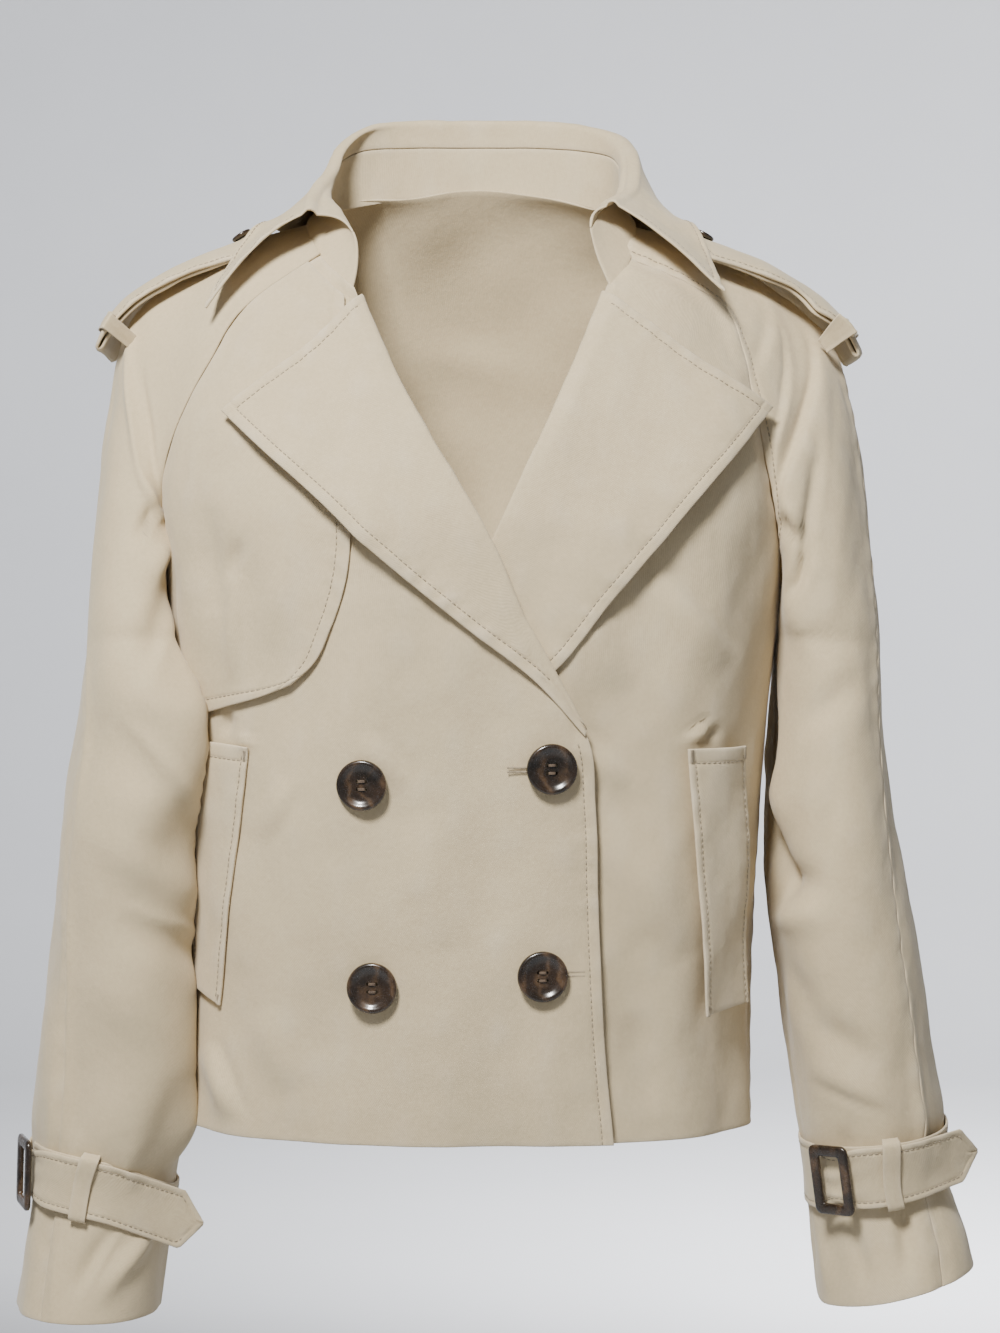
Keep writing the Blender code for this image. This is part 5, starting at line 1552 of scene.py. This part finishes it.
@dataclass
class Collar:
    """Turned collar: a stand up from the neck seam and a leaf folded down over it.

    The columns give the neck seam n, the stand's top b, the fold f and the outer edge e from
    the front end to the centre back, for the wearer's left; shifts fit the right side.
    """

    stitch: float = 6.6
    thread: Thread = field(default_factory=lambda: Thread("collar_topstitching"))
    rows: dict[str, list[float]] = field(default_factory=lambda: {
        "s": [0, 1, 2, 3, 4, 5, 6, 7],
        "nx": [79.5, 90, 95, 93, 86, 64, 34, 0], "ny": [-58, -35, -8, 24, 47, 63, 73, 77],
        "nz": [-40, -18, 4, 15, 23, 31, 36, 38],
        "bx": [69, 76, 86, 90, 86, 68, 37, 0], "by": [-45, -28, -6, 23, 46, 64, 75, 80],
        "bz": [-6, 7, 18, 37, 52, 60, 64, 65],
        "fx": [82, 88, 96, 98, 92, 70, 38, 0], "fy": [-43, -27, -5, 24, 49, 69, 80, 85],
        "fz": [11, 16, 27, 48, 66, 77, 82, 83],
        "ex": [147, 142, 133, 124, 112, 84, 45, 0], "ey": [-63, -40, -14, 22, 56, 86, 104, 109],
        "ez": [-45, -24, 2, 3, 0, -3, -6, -7], "up": [6, 0, -8, -9, -6, -2, 2, 4]})
    shifts: dict[str, tuple[float, ...]] = field(default_factory=lambda: {
        "nx": (-12, -5), "nz": (-3, -1), "bx": (-1, 0, -2, -5, -4), "bz": (-2, -1, -2, -8, -4),
        "fx": (12, 6, -3, -12, -12, -6), "fz": (-5, -2, -2, -6, -4),
        "ex": (6, 2, -4, -8, -6, -4), "ez": (-10, -6, -1), "up": (8, 3)})

    def tables(self) -> tuple[Table, Table]:
        """The stations of the wearer's left side and of the right side.

        Returns:
            Two tables keyed by station.
        """
        right = {name: list(values) for name, values in self.rows.items()}
        for name, moves in self.shifts.items():
            for i, move in enumerate(moves):
                right[name][i] += move
        return Table("s", self.rows), Table("s", right)

    def place(self, u: Grid, value: Grid) -> Grid:
        """Points of the collar.

        Args:
            u: 0 at the wearer's right front end, 1 at the left one.
            value: 0 at the neck seam, 1 stand top, 2 fold, 3 outer edge.

        Returns:
            One point for each place.
        """
        u, value = np.broadcast_arrays(u, value)
        s, side = 14 * np.minimum(u, 1 - u), np.where(u < 0.5, -1.0, 1.0)
        left, right = self.tables()

        def get(name: str) -> Grid:
            """One column, from the side's own table."""
            return np.where(side < 0, right.at(name, s), left.at(name, s))

        n, b, f, e = (np.stack([side * get(k + "x"), get(k + "y"), get(k + "z")], -1)
                      for k in "nbfe")
        away = unit((f - np.array([0.0, 12.0, 0.0])) * np.array([1, 1, 0]))
        drop, up = np.array([0, 0, 3.0]), get("up")[..., None] * np.array([0, 0, 1.0])
        inner, outer = f - away * 4.5 - drop, f + away * 4.5 - drop
        belly = outer + (e - outer) * 0.45 + away * 2 + up

        def curve(a: Grid, m: Grid, c: Grid, k: Grid) -> Grid:
            """Quadratic curve from a to c."""
            k = np.clip(k, -0.1, 1)[..., None]
            return a * (1 - k) ** 2 + 2 * k * (1 - k) * m + c * k * k

        k = np.where(value <= 1, value / 2, 0.5 + (value - 1) / 1.2)
        stand = curve(n, 2 * b - (n + inner) / 2, inner, k)
        rise = curve(inner, f - away * 4, f, np.maximum(value - 1.6, 0) / 0.4)
        fall = curve(f, f + away * 4, outer, np.maximum(value - 2, 0) / 0.15)
        leaf = curve(outer, belly, e, np.maximum(value - 2.15, 0) / 0.85)
        at = value[..., None]
        return np.where(at <= 1.6, stand, np.where(at <= 2, rise, np.where(at <= 2.15, fall, leaf)))

    def stand(self) -> Sheet:
        """The stand as a sheet, round the neck and up."""
        return Sheet("collar_stand",
                     lambda u, v: self.place(u, -0.13 + 1.115 * v), FRONT,
                     lambda lay: 0.35 * np.sin(lay.left / 14) * smooth(lay.high, 0, 8),
                     lambda lay: sway(lay.p, FINE_WAVES), step=3.0)

    def leaf(self) -> Sheet:
        """The leaf as a sheet, up over the fold and down to the outer edge.

        Returns:
            The leaf.
        """
        def shape(lay: Layout) -> Grid:
            """Soft waves in the free leaf."""
            free = smooth(lay.low, 40, 70)
            return (0.9 * np.sin(lay.left / 31 + 1.0) + 0.5 * np.sin(lay.left / 12.5)) * free * 0.6

        def face(lay: Layout) -> Grid:
            """Puckered stitching along the outer edge and both ends."""
            edge = edge_ripple(lay.high, lay.left, self.stitch, 0.9, 0.36)
            free = smooth(lay.low, 38, 48)
            edge += edge_ripple(lay.left, lay.low, self.stitch, 1.7, 0.3) * free
            edge += edge_ripple(lay.right, lay.low, self.stitch, 2.7, 0.3) * free
            return edge + sway(lay.p, FINE_WAVES)

        return Sheet("collar_leaf",
                     lambda u, v: self.place(u, 1.0 + 2.0 * v), ABOVE, shape, face, thick=1.6,
                     step=2.8, rims=(STITCHED, STITCHED, PLAIN, STITCHED), at=(0.5, 0.75),
                     held=Held.FOLDED, rests_on=("collar_stand",))

    def build(self) -> None:
        """Builds the stand, the leaf and its stitching."""
        self.stand().make()
        leaf = self.leaf().make()
        self.thread.row(*leaf.line(Rim.HIGH, self.stitch, self.stitch, self.stitch))
        self.thread.row(*leaf.line(Rim.LEFT, self.stitch, 42.0, self.stitch))
        self.thread.row(*leaf.line(Rim.RIGHT, self.stitch, 42.0, self.stitch))
        self.thread.make(THREAD_LOOK)


def lathe(profile: Sequence[tuple[float, float]], steps: int) -> tuple[Grid, list]:
    """Turned mesh about Z.

    Args:
        profile: radius and height, from the axis on top round to the axis below.
        steps: segments round.

    Returns:
        Its points and faces.
    """
    rings = np.array(profile[1:-1], float)
    turn = np.arange(steps) * 2 * math.pi / steps
    body = np.stack([rings[:, :1] * np.cos(turn), rings[:, :1] * np.sin(turn),
                     rings[:, 1:] + 0 * turn], axis=-1).reshape(-1, 3)
    points = np.concatenate([body, [[0, 0, profile[0][1]], [0, 0, profile[-1][1]]]])
    top, low = len(body), len(body) + 1
    faces = []
    for i in range(steps):
        k = (i + 1) % steps
        faces.append([top, i, k])
        faces.append([low, (len(rings) - 1) * steps + k, (len(rings) - 1) * steps + i])
        faces += [[r * steps + i, r * steps + steps + i, r * steps + steps + k, r * steps + k]
                  for r in range(len(rings) - 1)]
    return points, faces


def stand_on(points: Grid, place: Grid, normal: Grid, upward: Grid) -> Grid:
    """Moves points from the origin onto a surface.

    Args:
        points: points about the origin, with Z as their own normal.
        place: where the origin goes.
        normal: direction of their Z.
        upward: direction nearest to their Y.

    Returns:
        The moved points.
    """
    z = unit(normal)
    y = unit(upward - z * (upward * z).sum())
    return place + points @ np.stack([np.cross(y, z), y, z])


@dataclass
class Epaulettes:
    """Shoulder straps doubled back at the shoulder tip, each with a loop and a button."""

    width: float = 40.0
    thick: float = 2.2
    ends: tuple[float, float] = (0.9, 5.85)
    stitch: float = 4.0
    loop_width: float = 10.6
    stiff: float = 3.6     # rise of its edges, which stay flat over the round shoulder
    thread: Thread = field(default_factory=lambda: Thread("epaulette_topstitching"))

    def under(self, t: Grid) -> Grid:
        """Height of the lower layer over the sleeve."""
        return 2.8 + 5.7 * smooth(t, 1.0, 4.6)

    def high(self, t: Grid) -> Grid:
        """Height of the upper layer over the sleeve."""
        return self.under(t) + 2.7 + 2.9 * smooth(t, 1.2, 3.0)

    def turn(self, sleeve: SleeveCut, t: Grid, u: Grid) -> Grid:
        """Turn q on the sleeve of a place across the strap.

        Args:
            sleeve: the sleeve under it.
            t: stations.
            u: -1 to 1 across the strap.

        Returns:
            The turns.
        """
        pace = [np.linalg.norm(sleeve.surface(t, -0.12 * s) - sleeve.surface(t, 0 * t), axis=-1)
                / 0.12 for s in (-1, 1)]
        pace = np.maximum(pace[0] + (pace[1] - pace[0]) * smooth(u, -0.5, 0.5), 30)
        narrow = np.minimum(1, 0.45 + (t - self.ends[0]) * 22 / 16)
        return -u * self.width / 2 * narrow / pace

    def strap(self, sleeve: SleeveCut) -> Sheet:
        """The strap as a sheet: lower layer out, turn, upper layer back to the neck.

        Args:
            sleeve: the sleeve under it.

        Returns:
            The strap.
        """
        def surface(u: Grid, v: Grid) -> Grid:
            """Across (u) and along the doubled strap (v)."""
            across = 2 * u - 1
            first, last = self.ends
            share = np.where(v < 0.5, v / 0.47, (1 - v) / 0.47)
            t = first + (last - first) * np.clip(share, 0, 1)
            q = self.turn(sleeve, t, across)
            stiff = self.stiff * across ** 2
            low = sleeve.out(t, q, self.under(t) + stiff)
            top = sleeve.out(t, q, self.high(t) + stiff)
            before = sleeve.out(t - 0.2, self.turn(sleeve, t - 0.2, across),
                                self.under(t - 0.2) + stiff)
            slope = unit(low - before)
            bend = (np.clip((v - 0.47) / 0.06, 0, 1) * math.pi)[..., None]
            turned = ((low + top) / 2 + slope * 4.2 * np.sin(bend)
                      - (top - low) / 2 * np.cos(bend))
            return np.where((v < 0.47)[..., None], low,
                            np.where((v > 0.53)[..., None], top, turned))

        def face(lay: Layout) -> Grid:
            """Stitched edges, a little padded."""
            return ripples(lay, (Rim.LEFT, self.stitch, 0.6, 0.3),
                           (Rim.RIGHT, self.stitch, 2.2, 0.3),
                           (Rim.HIGH, self.stitch, 1.2, 0.2)) + sway(lay.p, FINE_WAVES)

        return Sheet(f"epaulette_{sleeve.side}", surface, ABOVE,
                     lambda lay: 0.4 * np.sin(lay.low / 19) * smooth(lay.v, 0.53, 0.6), face,
                     thick=self.thick, step=2.8, rims=(NARROW, NARROW, PLAIN, NARROW),
                     at=(0.5, 0.8), held=Held.FOLDED, rests_on=(f"sleeve_{sleeve.side}_front",))

    def loop(self, sleeve: SleeveCut) -> Sheet:
        """The loop that holds the strap's doubled end.

        Args:
            sleeve: the sleeve that it is sewn to.

        Returns:
            The loop as a sheet.
        """
        middle = self.ends[0] + (self.ends[1] - self.ends[0]) * 8 / 9
        h = float(self.high(np.array(middle)))
        stops = [-1.26, -1.24, -1.12, -0.5, 0, 0.5, 1.12, 1.24, 1.26]
        rise = Table("s", {"s": stops,
                           "h": [1.8, h, h + 6.4, h + 3.2, h + 2.2, h + 3.2, h + 6.4, h, 1.8]})
        lead = Table("s", {"s": list(range(9)), "at": stops})

        def surface(u: Grid, v: Grid) -> Grid:
            """Along the strap's width (v) and across the loop (u)."""
            s = lead.at("at", 8 * v)
            t = middle + (2 * u - 1) * self.loop_width / 2 / 22
            edge = self.turn(sleeve, 0 * u + middle, np.sign(s) + (s == 0)) * np.abs(s)
            return sleeve.out(t, edge, rise.at("h", s))

        return carrier(f"epaulette_loop_{sleeve.side}", surface, ABOVE, f"epaulette_{sleeve.side}")

    def build(self) -> None:
        """Builds both straps with loops, buttons and stitching."""
        for sleeve in (SLEEVE_RIGHT, SLEEVE_LEFT):
            strap = self.strap(sleeve).make()
            self.loop(sleeve).make()
            half = strap.lay.low[-1].mean() * 0.53
            for rim in (Rim.LEFT, Rim.RIGHT):
                self.thread.row(*strap.line(rim, self.stitch, half, self.stitch))
            self.thread.row(*strap.line(Rim.HIGH, self.stitch, self.stitch, self.stitch))
            t = np.array(self.ends[0] + (self.ends[1] - self.ends[0]) / 9)
            here = sleeve.out(t, 0 * t, self.high(t) + 0.9)
            up = sleeve.normal(t, 0 * t)
            profile = [(0, 1.5), (2.6, 1.5), (3.9, 1.75), (4.9, 2.3), (5.6, 2.55), (6.2, 2.3),
                       (6.5, 1.7), (6.4, 0.9), (5.6, 0.2), (4.8, 0), (0, 0)]
            points, faces = lathe(profile, 36)
            points = stand_on(points, here, up, np.array([0, 1.0, 0]))
            name = f"epaulette_button_{sleeve.side}"
            dress(mesh_object(name, points, faces), HORN_LOOK, name)
        self.thread.make(THREAD_LOOK)


@dataclass
class CuffStraps:
    """Cuff straps with a loop and a plain rectangular frame buckle on each sleeve."""

    width: float = 34.0
    stitch: float = 4.0
    loop_width: float = 10.6
    round_mm: float = 300.0      # rough length of one turn round the sleeve
    frame: tuple[float, float, float, float] = (27.0, 41.0, 6.4, 3.6)
    thread: Thread = field(default_factory=lambda: Thread("cuff_strap_topstitching"))
    starts: dict[int, tuple[float, int, float, float]] = field(default_factory=lambda: {
        -1: (0.06, 1, 0.45, 45.0), 1: (0.37, -1, 0.36, 37.0)})
    heights: dict[int, Table] = field(default_factory=lambda: {
        -1: Table("turn", {"turn": [0, 0.25, 0.5, 0.75, 1.0], "z": [-555, -561, -581, -572, -555]}),
        1: Table("turn", {"turn": [0, 0.25, 0.5, 0.75, 1.0], "z": [-545, -551, -555, -540, -545]})})

    def place(self, sleeve: SleeveCut, r: Grid, drop: Grid, high: Grid | float) -> Grid:
        """Points over the sleeve along the strap's line.

        Args:
            sleeve: the sleeve that it goes round.
            r: turns from the outside, forwards.
            drop: distance below the strap's middle.
            high: height over the sleeve.

        Returns:
            The points.
        """
        turn = np.mod(r, 1.0)
        q = np.where(turn <= 0.5, 2 * turn, 2 * turn - 2)
        z = self.heights[sleeve.sign].at("z", turn) - drop
        rows = Table("z", {"z": sleeve.rows.columns["oz"], "t": list(range(23))})
        return sleeve.out(rows.at("t", z), q, high)

    def strap(self, sleeve: SleeveCut) -> Sheet:
        """The strap as a sheet: once round the sleeve, on past its buckle and loop, and free.

        Args:
            sleeve: the sleeve that it goes round.

        Returns:
            The strap.
        """
        start, way, tip, free = self.starts[sleeve.sign]
        end = 1 + 0.625 * tip
        total = end + free / self.round_mm

        def laid(u: Grid, run: Grid) -> Grid:
            """Points of the strap while it lies on the sleeve."""
            half = self.width / 2 * (1 - 0.22 * np.exp(-((run - 1.01) / 0.035) ** 2))
            over = 3.0 + 2.8 * smooth(run, 0.93, 1.0)
            return self.place(sleeve, start + way * run, half * u, over + 0 * u)

        def along(u: Grid, run: Grid) -> Grid:
            """Points of the strap, straight on once it leaves the sleeve."""
            last = 0 * run + end
            ahead = unit(laid(u, last) - laid(u, last - 0.03))
            past = (np.maximum(run - end, 0) * self.round_mm)[..., None]
            return laid(u, np.minimum(run, end)) + ahead * past

        def surface(u: Grid, v: Grid) -> Grid:
            """Across (u) and along (v), drawn in to a point at the free end."""
            run = v * total
            p, middle = along(2 * u - 1, run), along(0 * u, run)
            left = (total - run) * self.round_mm
            return middle + (p - middle) * np.minimum(1, 0.08 + left / 15)[..., None]

        def face(lay: Layout) -> Grid:
            """Stitched edges, and gathers where the frame squeezes it."""
            edge = ripples(lay, (Rim.LEFT, self.stitch, 0.6, 0.24),
                           (Rim.RIGHT, self.stitch, 2.2, 0.24))
            squeeze = np.exp(-((lay.v * total - 1.01) / 0.05) ** 2)
            return edge + 0.5 * squeeze * np.sin(lay.left / 1.9) + sway(lay.p, FINE_WAVES)

        over, near = (self.place(sleeve, np.array(start), np.array(0.0), h) for h in (12.0, 3.0))
        return Sheet(f"cuff_strap_{sleeve.side}", surface, over - near,
                     no_relief, face, thick=1.4, step=2.6, rims=(NARROW, NARROW, PLAIN, PLAIN),
                     at=(0.5, 0.0), held=Held.LAID, rests_on=(f"sleeve_{sleeve.side}_front",))

    def loop(self, sleeve: SleeveCut) -> Sheet:
        """The loop that the strap's free end passes through.

        Args:
            sleeve: the sleeve that it is sewn to.

        Returns:
            The loop as a sheet.
        """
        start, way, tip, _ = self.starts[sleeve.sign]
        path = Table("s", {"s": [0, 1, 2, 3, 4, 5, 6],
                           "drop": [-20.5, -20, -17.5, 0, 17.5, 20, 20.5],
                           "high": [1.8, 3.5, 7.9, 8.0, 7.9, 3.5, 1.8]})

        def surface(u: Grid, v: Grid) -> Grid:
            """Along the strap's width (v) and across the loop (u)."""
            wide = (2 * u - 1) * self.loop_width / 2 / self.round_mm
            return self.place(sleeve, start + way * (1 + tip * 0.36) + wide,
                              path.at("drop", 6 * v), path.at("high", 6 * v))

        return carrier(f"cuff_loop_{sleeve.side}", surface, FRONT, f"cuff_strap_{sleeve.side}")

    def buckle(self, sleeve: SleeveCut) -> None:
        """Builds the frame buckle: rounded bars round a rectangle.

        Args:
            sleeve: the sleeve that it sits on.
        """
        w, h, bar, deep = self.frame
        rims = []
        for inset, corner in ((0.0, 4.2), (bar, 1.5)):
            a, b = w / 2 - inset - corner, h / 2 - inset - corner
            turns = np.linspace(0, math.pi / 2, 7) + np.arange(4)[:, None] * math.pi / 2
            rims.append(np.concatenate([
                np.stack([sx * a + corner * np.cos(k), sy * b + corner * np.sin(k)], 1)
                for k, sx, sy in zip(turns, (1, -1, -1, 1), (1, 1, -1, -1))]))
        outer, inner = rims
        theta = np.arange(18) * 2 * math.pi / 18
        swell = power(np.cos(theta), 0.72)[None, :, None]
        flat = (outer + inner)[:, None] / 2 + (outer - inner)[:, None] / 2 * swell
        z = deep / 2 * power(np.sin(theta), 0.62)[None, :, None] + np.zeros((len(outer), 1, 1))
        points = np.concatenate([flat, z], axis=-1)
        n, m = points.shape[:2]
        start, way, _, _ = self.starts[sleeve.sign]
        at = np.array([start + way * 1.01] * 2)
        here, below = self.place(sleeve, at, np.array([0, 10.0]), np.array([9.8, 9.8]))
        beyond = self.place(sleeve, at, np.array([0, 10.0]), np.array([12.0, 12.0]))[0]
        points = stand_on(points.reshape(-1, 3), here, beyond - here, here - below)
        # Lighter amber along the middle of each face of the bar, through the horn finish's
        # lightening mask.
        wear_and_highlight = np.tile(0.5 * np.abs(np.cos(2 * theta)) ** 6, n)
        name = f"cuff_buckle_{sleeve.side}"
        dress(mesh_object(name, points, net(n, m), wear_and_highlight=wear_and_highlight), HORN_LOOK, name)

    def build(self) -> None:
        """Builds straps, loops, buckles and stitching."""
        for sleeve in (SLEEVE_RIGHT, SLEEVE_LEFT):
            strap = self.strap(sleeve).make()
            self.loop(sleeve).make()
            for rim in (Rim.LEFT, Rim.RIGHT):
                self.thread.row(*strap.line(rim, self.stitch, 4.0, 9.0))
            self.buckle(sleeve)
        self.thread.make(THREAD_LOOK)


@dataclass
class FrontButtons:
    """Four dished horn buttons, their threads, and the buttonholes beside two of them."""

    radius: float = 14.2
    thick: float = 4.6
    spots: dict[str, tuple[float, float]] = field(default_factory=lambda: {
        "button_right_top": (-58.5, -327), "button_left_top": (45, -318),
        "button_right_low": (-53, -440), "button_left_low": (40, -433.5)})
    holes: tuple[tuple[float, float, float], ...] = ((21.0, 48.0, -318.5), (37.0, 63.5, -432.5))

    def profile(self) -> list[tuple[float, float]]:
        """Radius and height of the button's outline."""
        r, t = self.radius, self.thick
        rows = ((0, .5), (.3, .5), (.5, .52), (.62, .58), (.7, .7), (.76, .84), (.82, .95),
                (.88, 1), (.93, .97), (.97, .88), (.995, .72), (1, .5), (.985, .28), (.94, .1),
                (.86, 0), (0, 0))
        return [(a * r, b * t) for a, b in rows]

    def build(self) -> None:
        """Builds the buttons with holes and threads, and the buttonholes."""
        ties = Thread("button_threads")
        for name, (x, z) in self.spots.items():
            on = BODY.layer_right(np.array(x, float), np.array(z, float))
            here, above = BODY.on_front(x, z, on + 0.6), BODY.on_front(x, z, on + 5.0)
            points, faces = lathe(self.profile(), 64)
            up = np.array(ABOVE)
            button = mesh_object(name + "_turned", stand_on(points, here, above - here, up), faces)
            corners = np.array([[math.cos(a), math.sin(a)] for a in
                                (math.pi / 4 + i * math.pi / 2 for i in range(4))]) * 3.1
            cutters = []
            for i, (a, b) in enumerate(corners):
                drill, sides = lathe([(0, 8), (1.05, 8), (1.05, -3), (0, -3)], 16)
                drill = stand_on(drill + np.array([a, b, 0]), here, above - here, up)
                cutter = mesh_object(f"{name}_drill_{i}", drill, sides)
                cut = button.modifiers.new("hole", "BOOLEAN")
                cut.object = cutter
                cutters.append(cutter)
            bpy.context.view_layer.update()
            seen = button.evaluated_get(bpy.context.evaluated_depsgraph_get())
            mesh = bpy.data.meshes.new_from_object(seen)
            mesh.set_sharp_from_angle(angle=math.radians(38))
            for spent in (*cutters, button):
                bpy.data.objects.remove(spent, do_unlink=True)
            made = bpy.data.objects.new(name + "_dished", mesh)
            bpy.context.scene.collection.objects.link(made)
            dress(made, HORN_LOOK, name)
            level = 0.5 * self.thick + 0.25
            spots = stand_on(np.concatenate([corners, np.full((4, 1), level)], 1), here,
                             above - here, up)
            for a, b in ((0, 1), (3, 2)):
                for off in (-0.45, 0.0, 0.45):
                    shift = up * off
                    ties.stitch(spots[a] + shift, spots[b] + shift, unit(above - here), 0.62, 0.35)
        ties.make(TIE_LOOK)
        self.buttonholes().make(THREAD_LOOK)

    def buttonholes(self) -> Thread:
        """Satin-stitched buttonholes on the overlapping front.

        Returns:
            Their thread.
        """
        thread = Thread("buttonhole_stitches")
        for first, last, z in self.holes:
            for x in np.arange(first, last, 0.62):
                for side in (-1, 1):
                    ends = [BODY.on_front(x, z + side * d, BODY.layer_right(
                        np.array(x), np.array(z)) + 0.2) for d in (0.45, 1.9)]
                    out = BODY.on_front(x, z, 9.0) - BODY.on_front(x, z, 5.0)
                    thread.stitch(ends[0], ends[1], unit(out), 0.5, 0.16)
        return thread


@dataclass
class Studio:
    """Pale floor with a coved wall all round, soft lights and the photograph's camera."""

    floor_z: float = -1.42
    reach: float = 6.0
    cove: float = 2.5
    wall: float = 8.0
    lens: float = 36.0 * 2667.0 / 1000.0
    eye: tuple[float, float, float] = (0.017, -1.6, -0.2616)

    def room(self) -> None:
        """Builds the floor and its coved wall."""
        turn = np.linspace(0, math.pi / 2, 17)
        radius = np.concatenate([[0.01, 1, 3], self.reach + self.cove * np.sin(turn),
                                 [self.reach + self.cove]])
        high = np.concatenate([[0, 0, 0], self.cove * (1 - np.cos(turn)), [self.wall]])
        steps = 96
        around = np.arange(steps) * 2 * math.pi / steps
        points = np.stack([radius[:, None] * np.cos(around), radius[:, None] * np.sin(around),
                           high[:, None] + self.floor_z + 0 * around], axis=-1).reshape(-1, 3)
        faces = net(len(radius), steps, 1) + [list(range(steps))]
        floor = mesh_object("studio_floor", points / MM, faces)
        floor.data.materials.append(FloorFinish().material())

    def light(self, name: str, place: tuple[float, float, float], size: float, power_w: float,
              colour: tuple[float, float, float] = (1, 1, 1),
              aim: tuple[float, float, float] = (0, 0, -0.25)) -> None:
        """Adds a soft square light.

        Args:
            name: its name.
            place: where it stands, in metres.
            size: its side, in metres.
            power_w: its power.
            colour: its colour.
            aim: what it points at, in metres.
        """
        data = bpy.data.lights.new(name, "AREA")
        data.size, data.energy, data.color = size, power_w, colour
        lamp = bpy.data.objects.new(name, data)
        lamp.location = place
        lamp.rotation_euler = (Vector(aim) - Vector(place)).to_track_quat("-Z", "Y").to_euler()
        lamp.visible_camera = False
        bpy.context.scene.collection.objects.link(lamp)

    def build(self) -> None:
        """Builds room, lights and camera."""
        self.room()
        world = bpy.data.worlds.new("studio")
        bpy.context.scene.world = world
        world.use_nodes = True
        world.node_tree.nodes["Background"].inputs["Color"].default_value = (0.93, 0.96, 1, 1)
        world.node_tree.nodes["Background"].inputs["Strength"].default_value = 0.15
        self.light("key", (-0.45, -1.35, 1.05), 0.42, 75.0, (1, 0.985, 0.95))
        self.light("wall", (1.2, 2.4, 0.6), 2.0, 560.0, (0.98, 0.98, 1), (2.4, 8.5, 0.6))
        self.light("rear", (0.4, 3.2, 1.5), 2.0, 30.0)
        data = bpy.data.cameras.new("camera")
        data.lens, data.sensor_width, data.sensor_fit = self.lens, 36.0, "HORIZONTAL"
        data.clip_end = 60.0
        camera = bpy.data.objects.new("camera", data)
        camera.location = self.eye
        camera.rotation_euler = (math.pi / 2, 0, 0)
        bpy.context.scene.collection.objects.link(camera)
        bpy.context.scene.camera = camera


def main() -> None:
    """Builds the studio and every sub-assembly of the coat."""
    logging.basicConfig(level=logging.INFO, format="%(name)s %(message)s")
    for part in (Studio(), BodyPanels(), Sleeves(), Lapels(), StormFlap(), Welts(), Collar(),
                 Epaulettes(), CuffStraps(), FrontButtons()):
        LOG.info("building %s", type(part).__name__)
        part.build()
    bpy.context.view_layer.update()


if __name__ == "__main__":
    main()
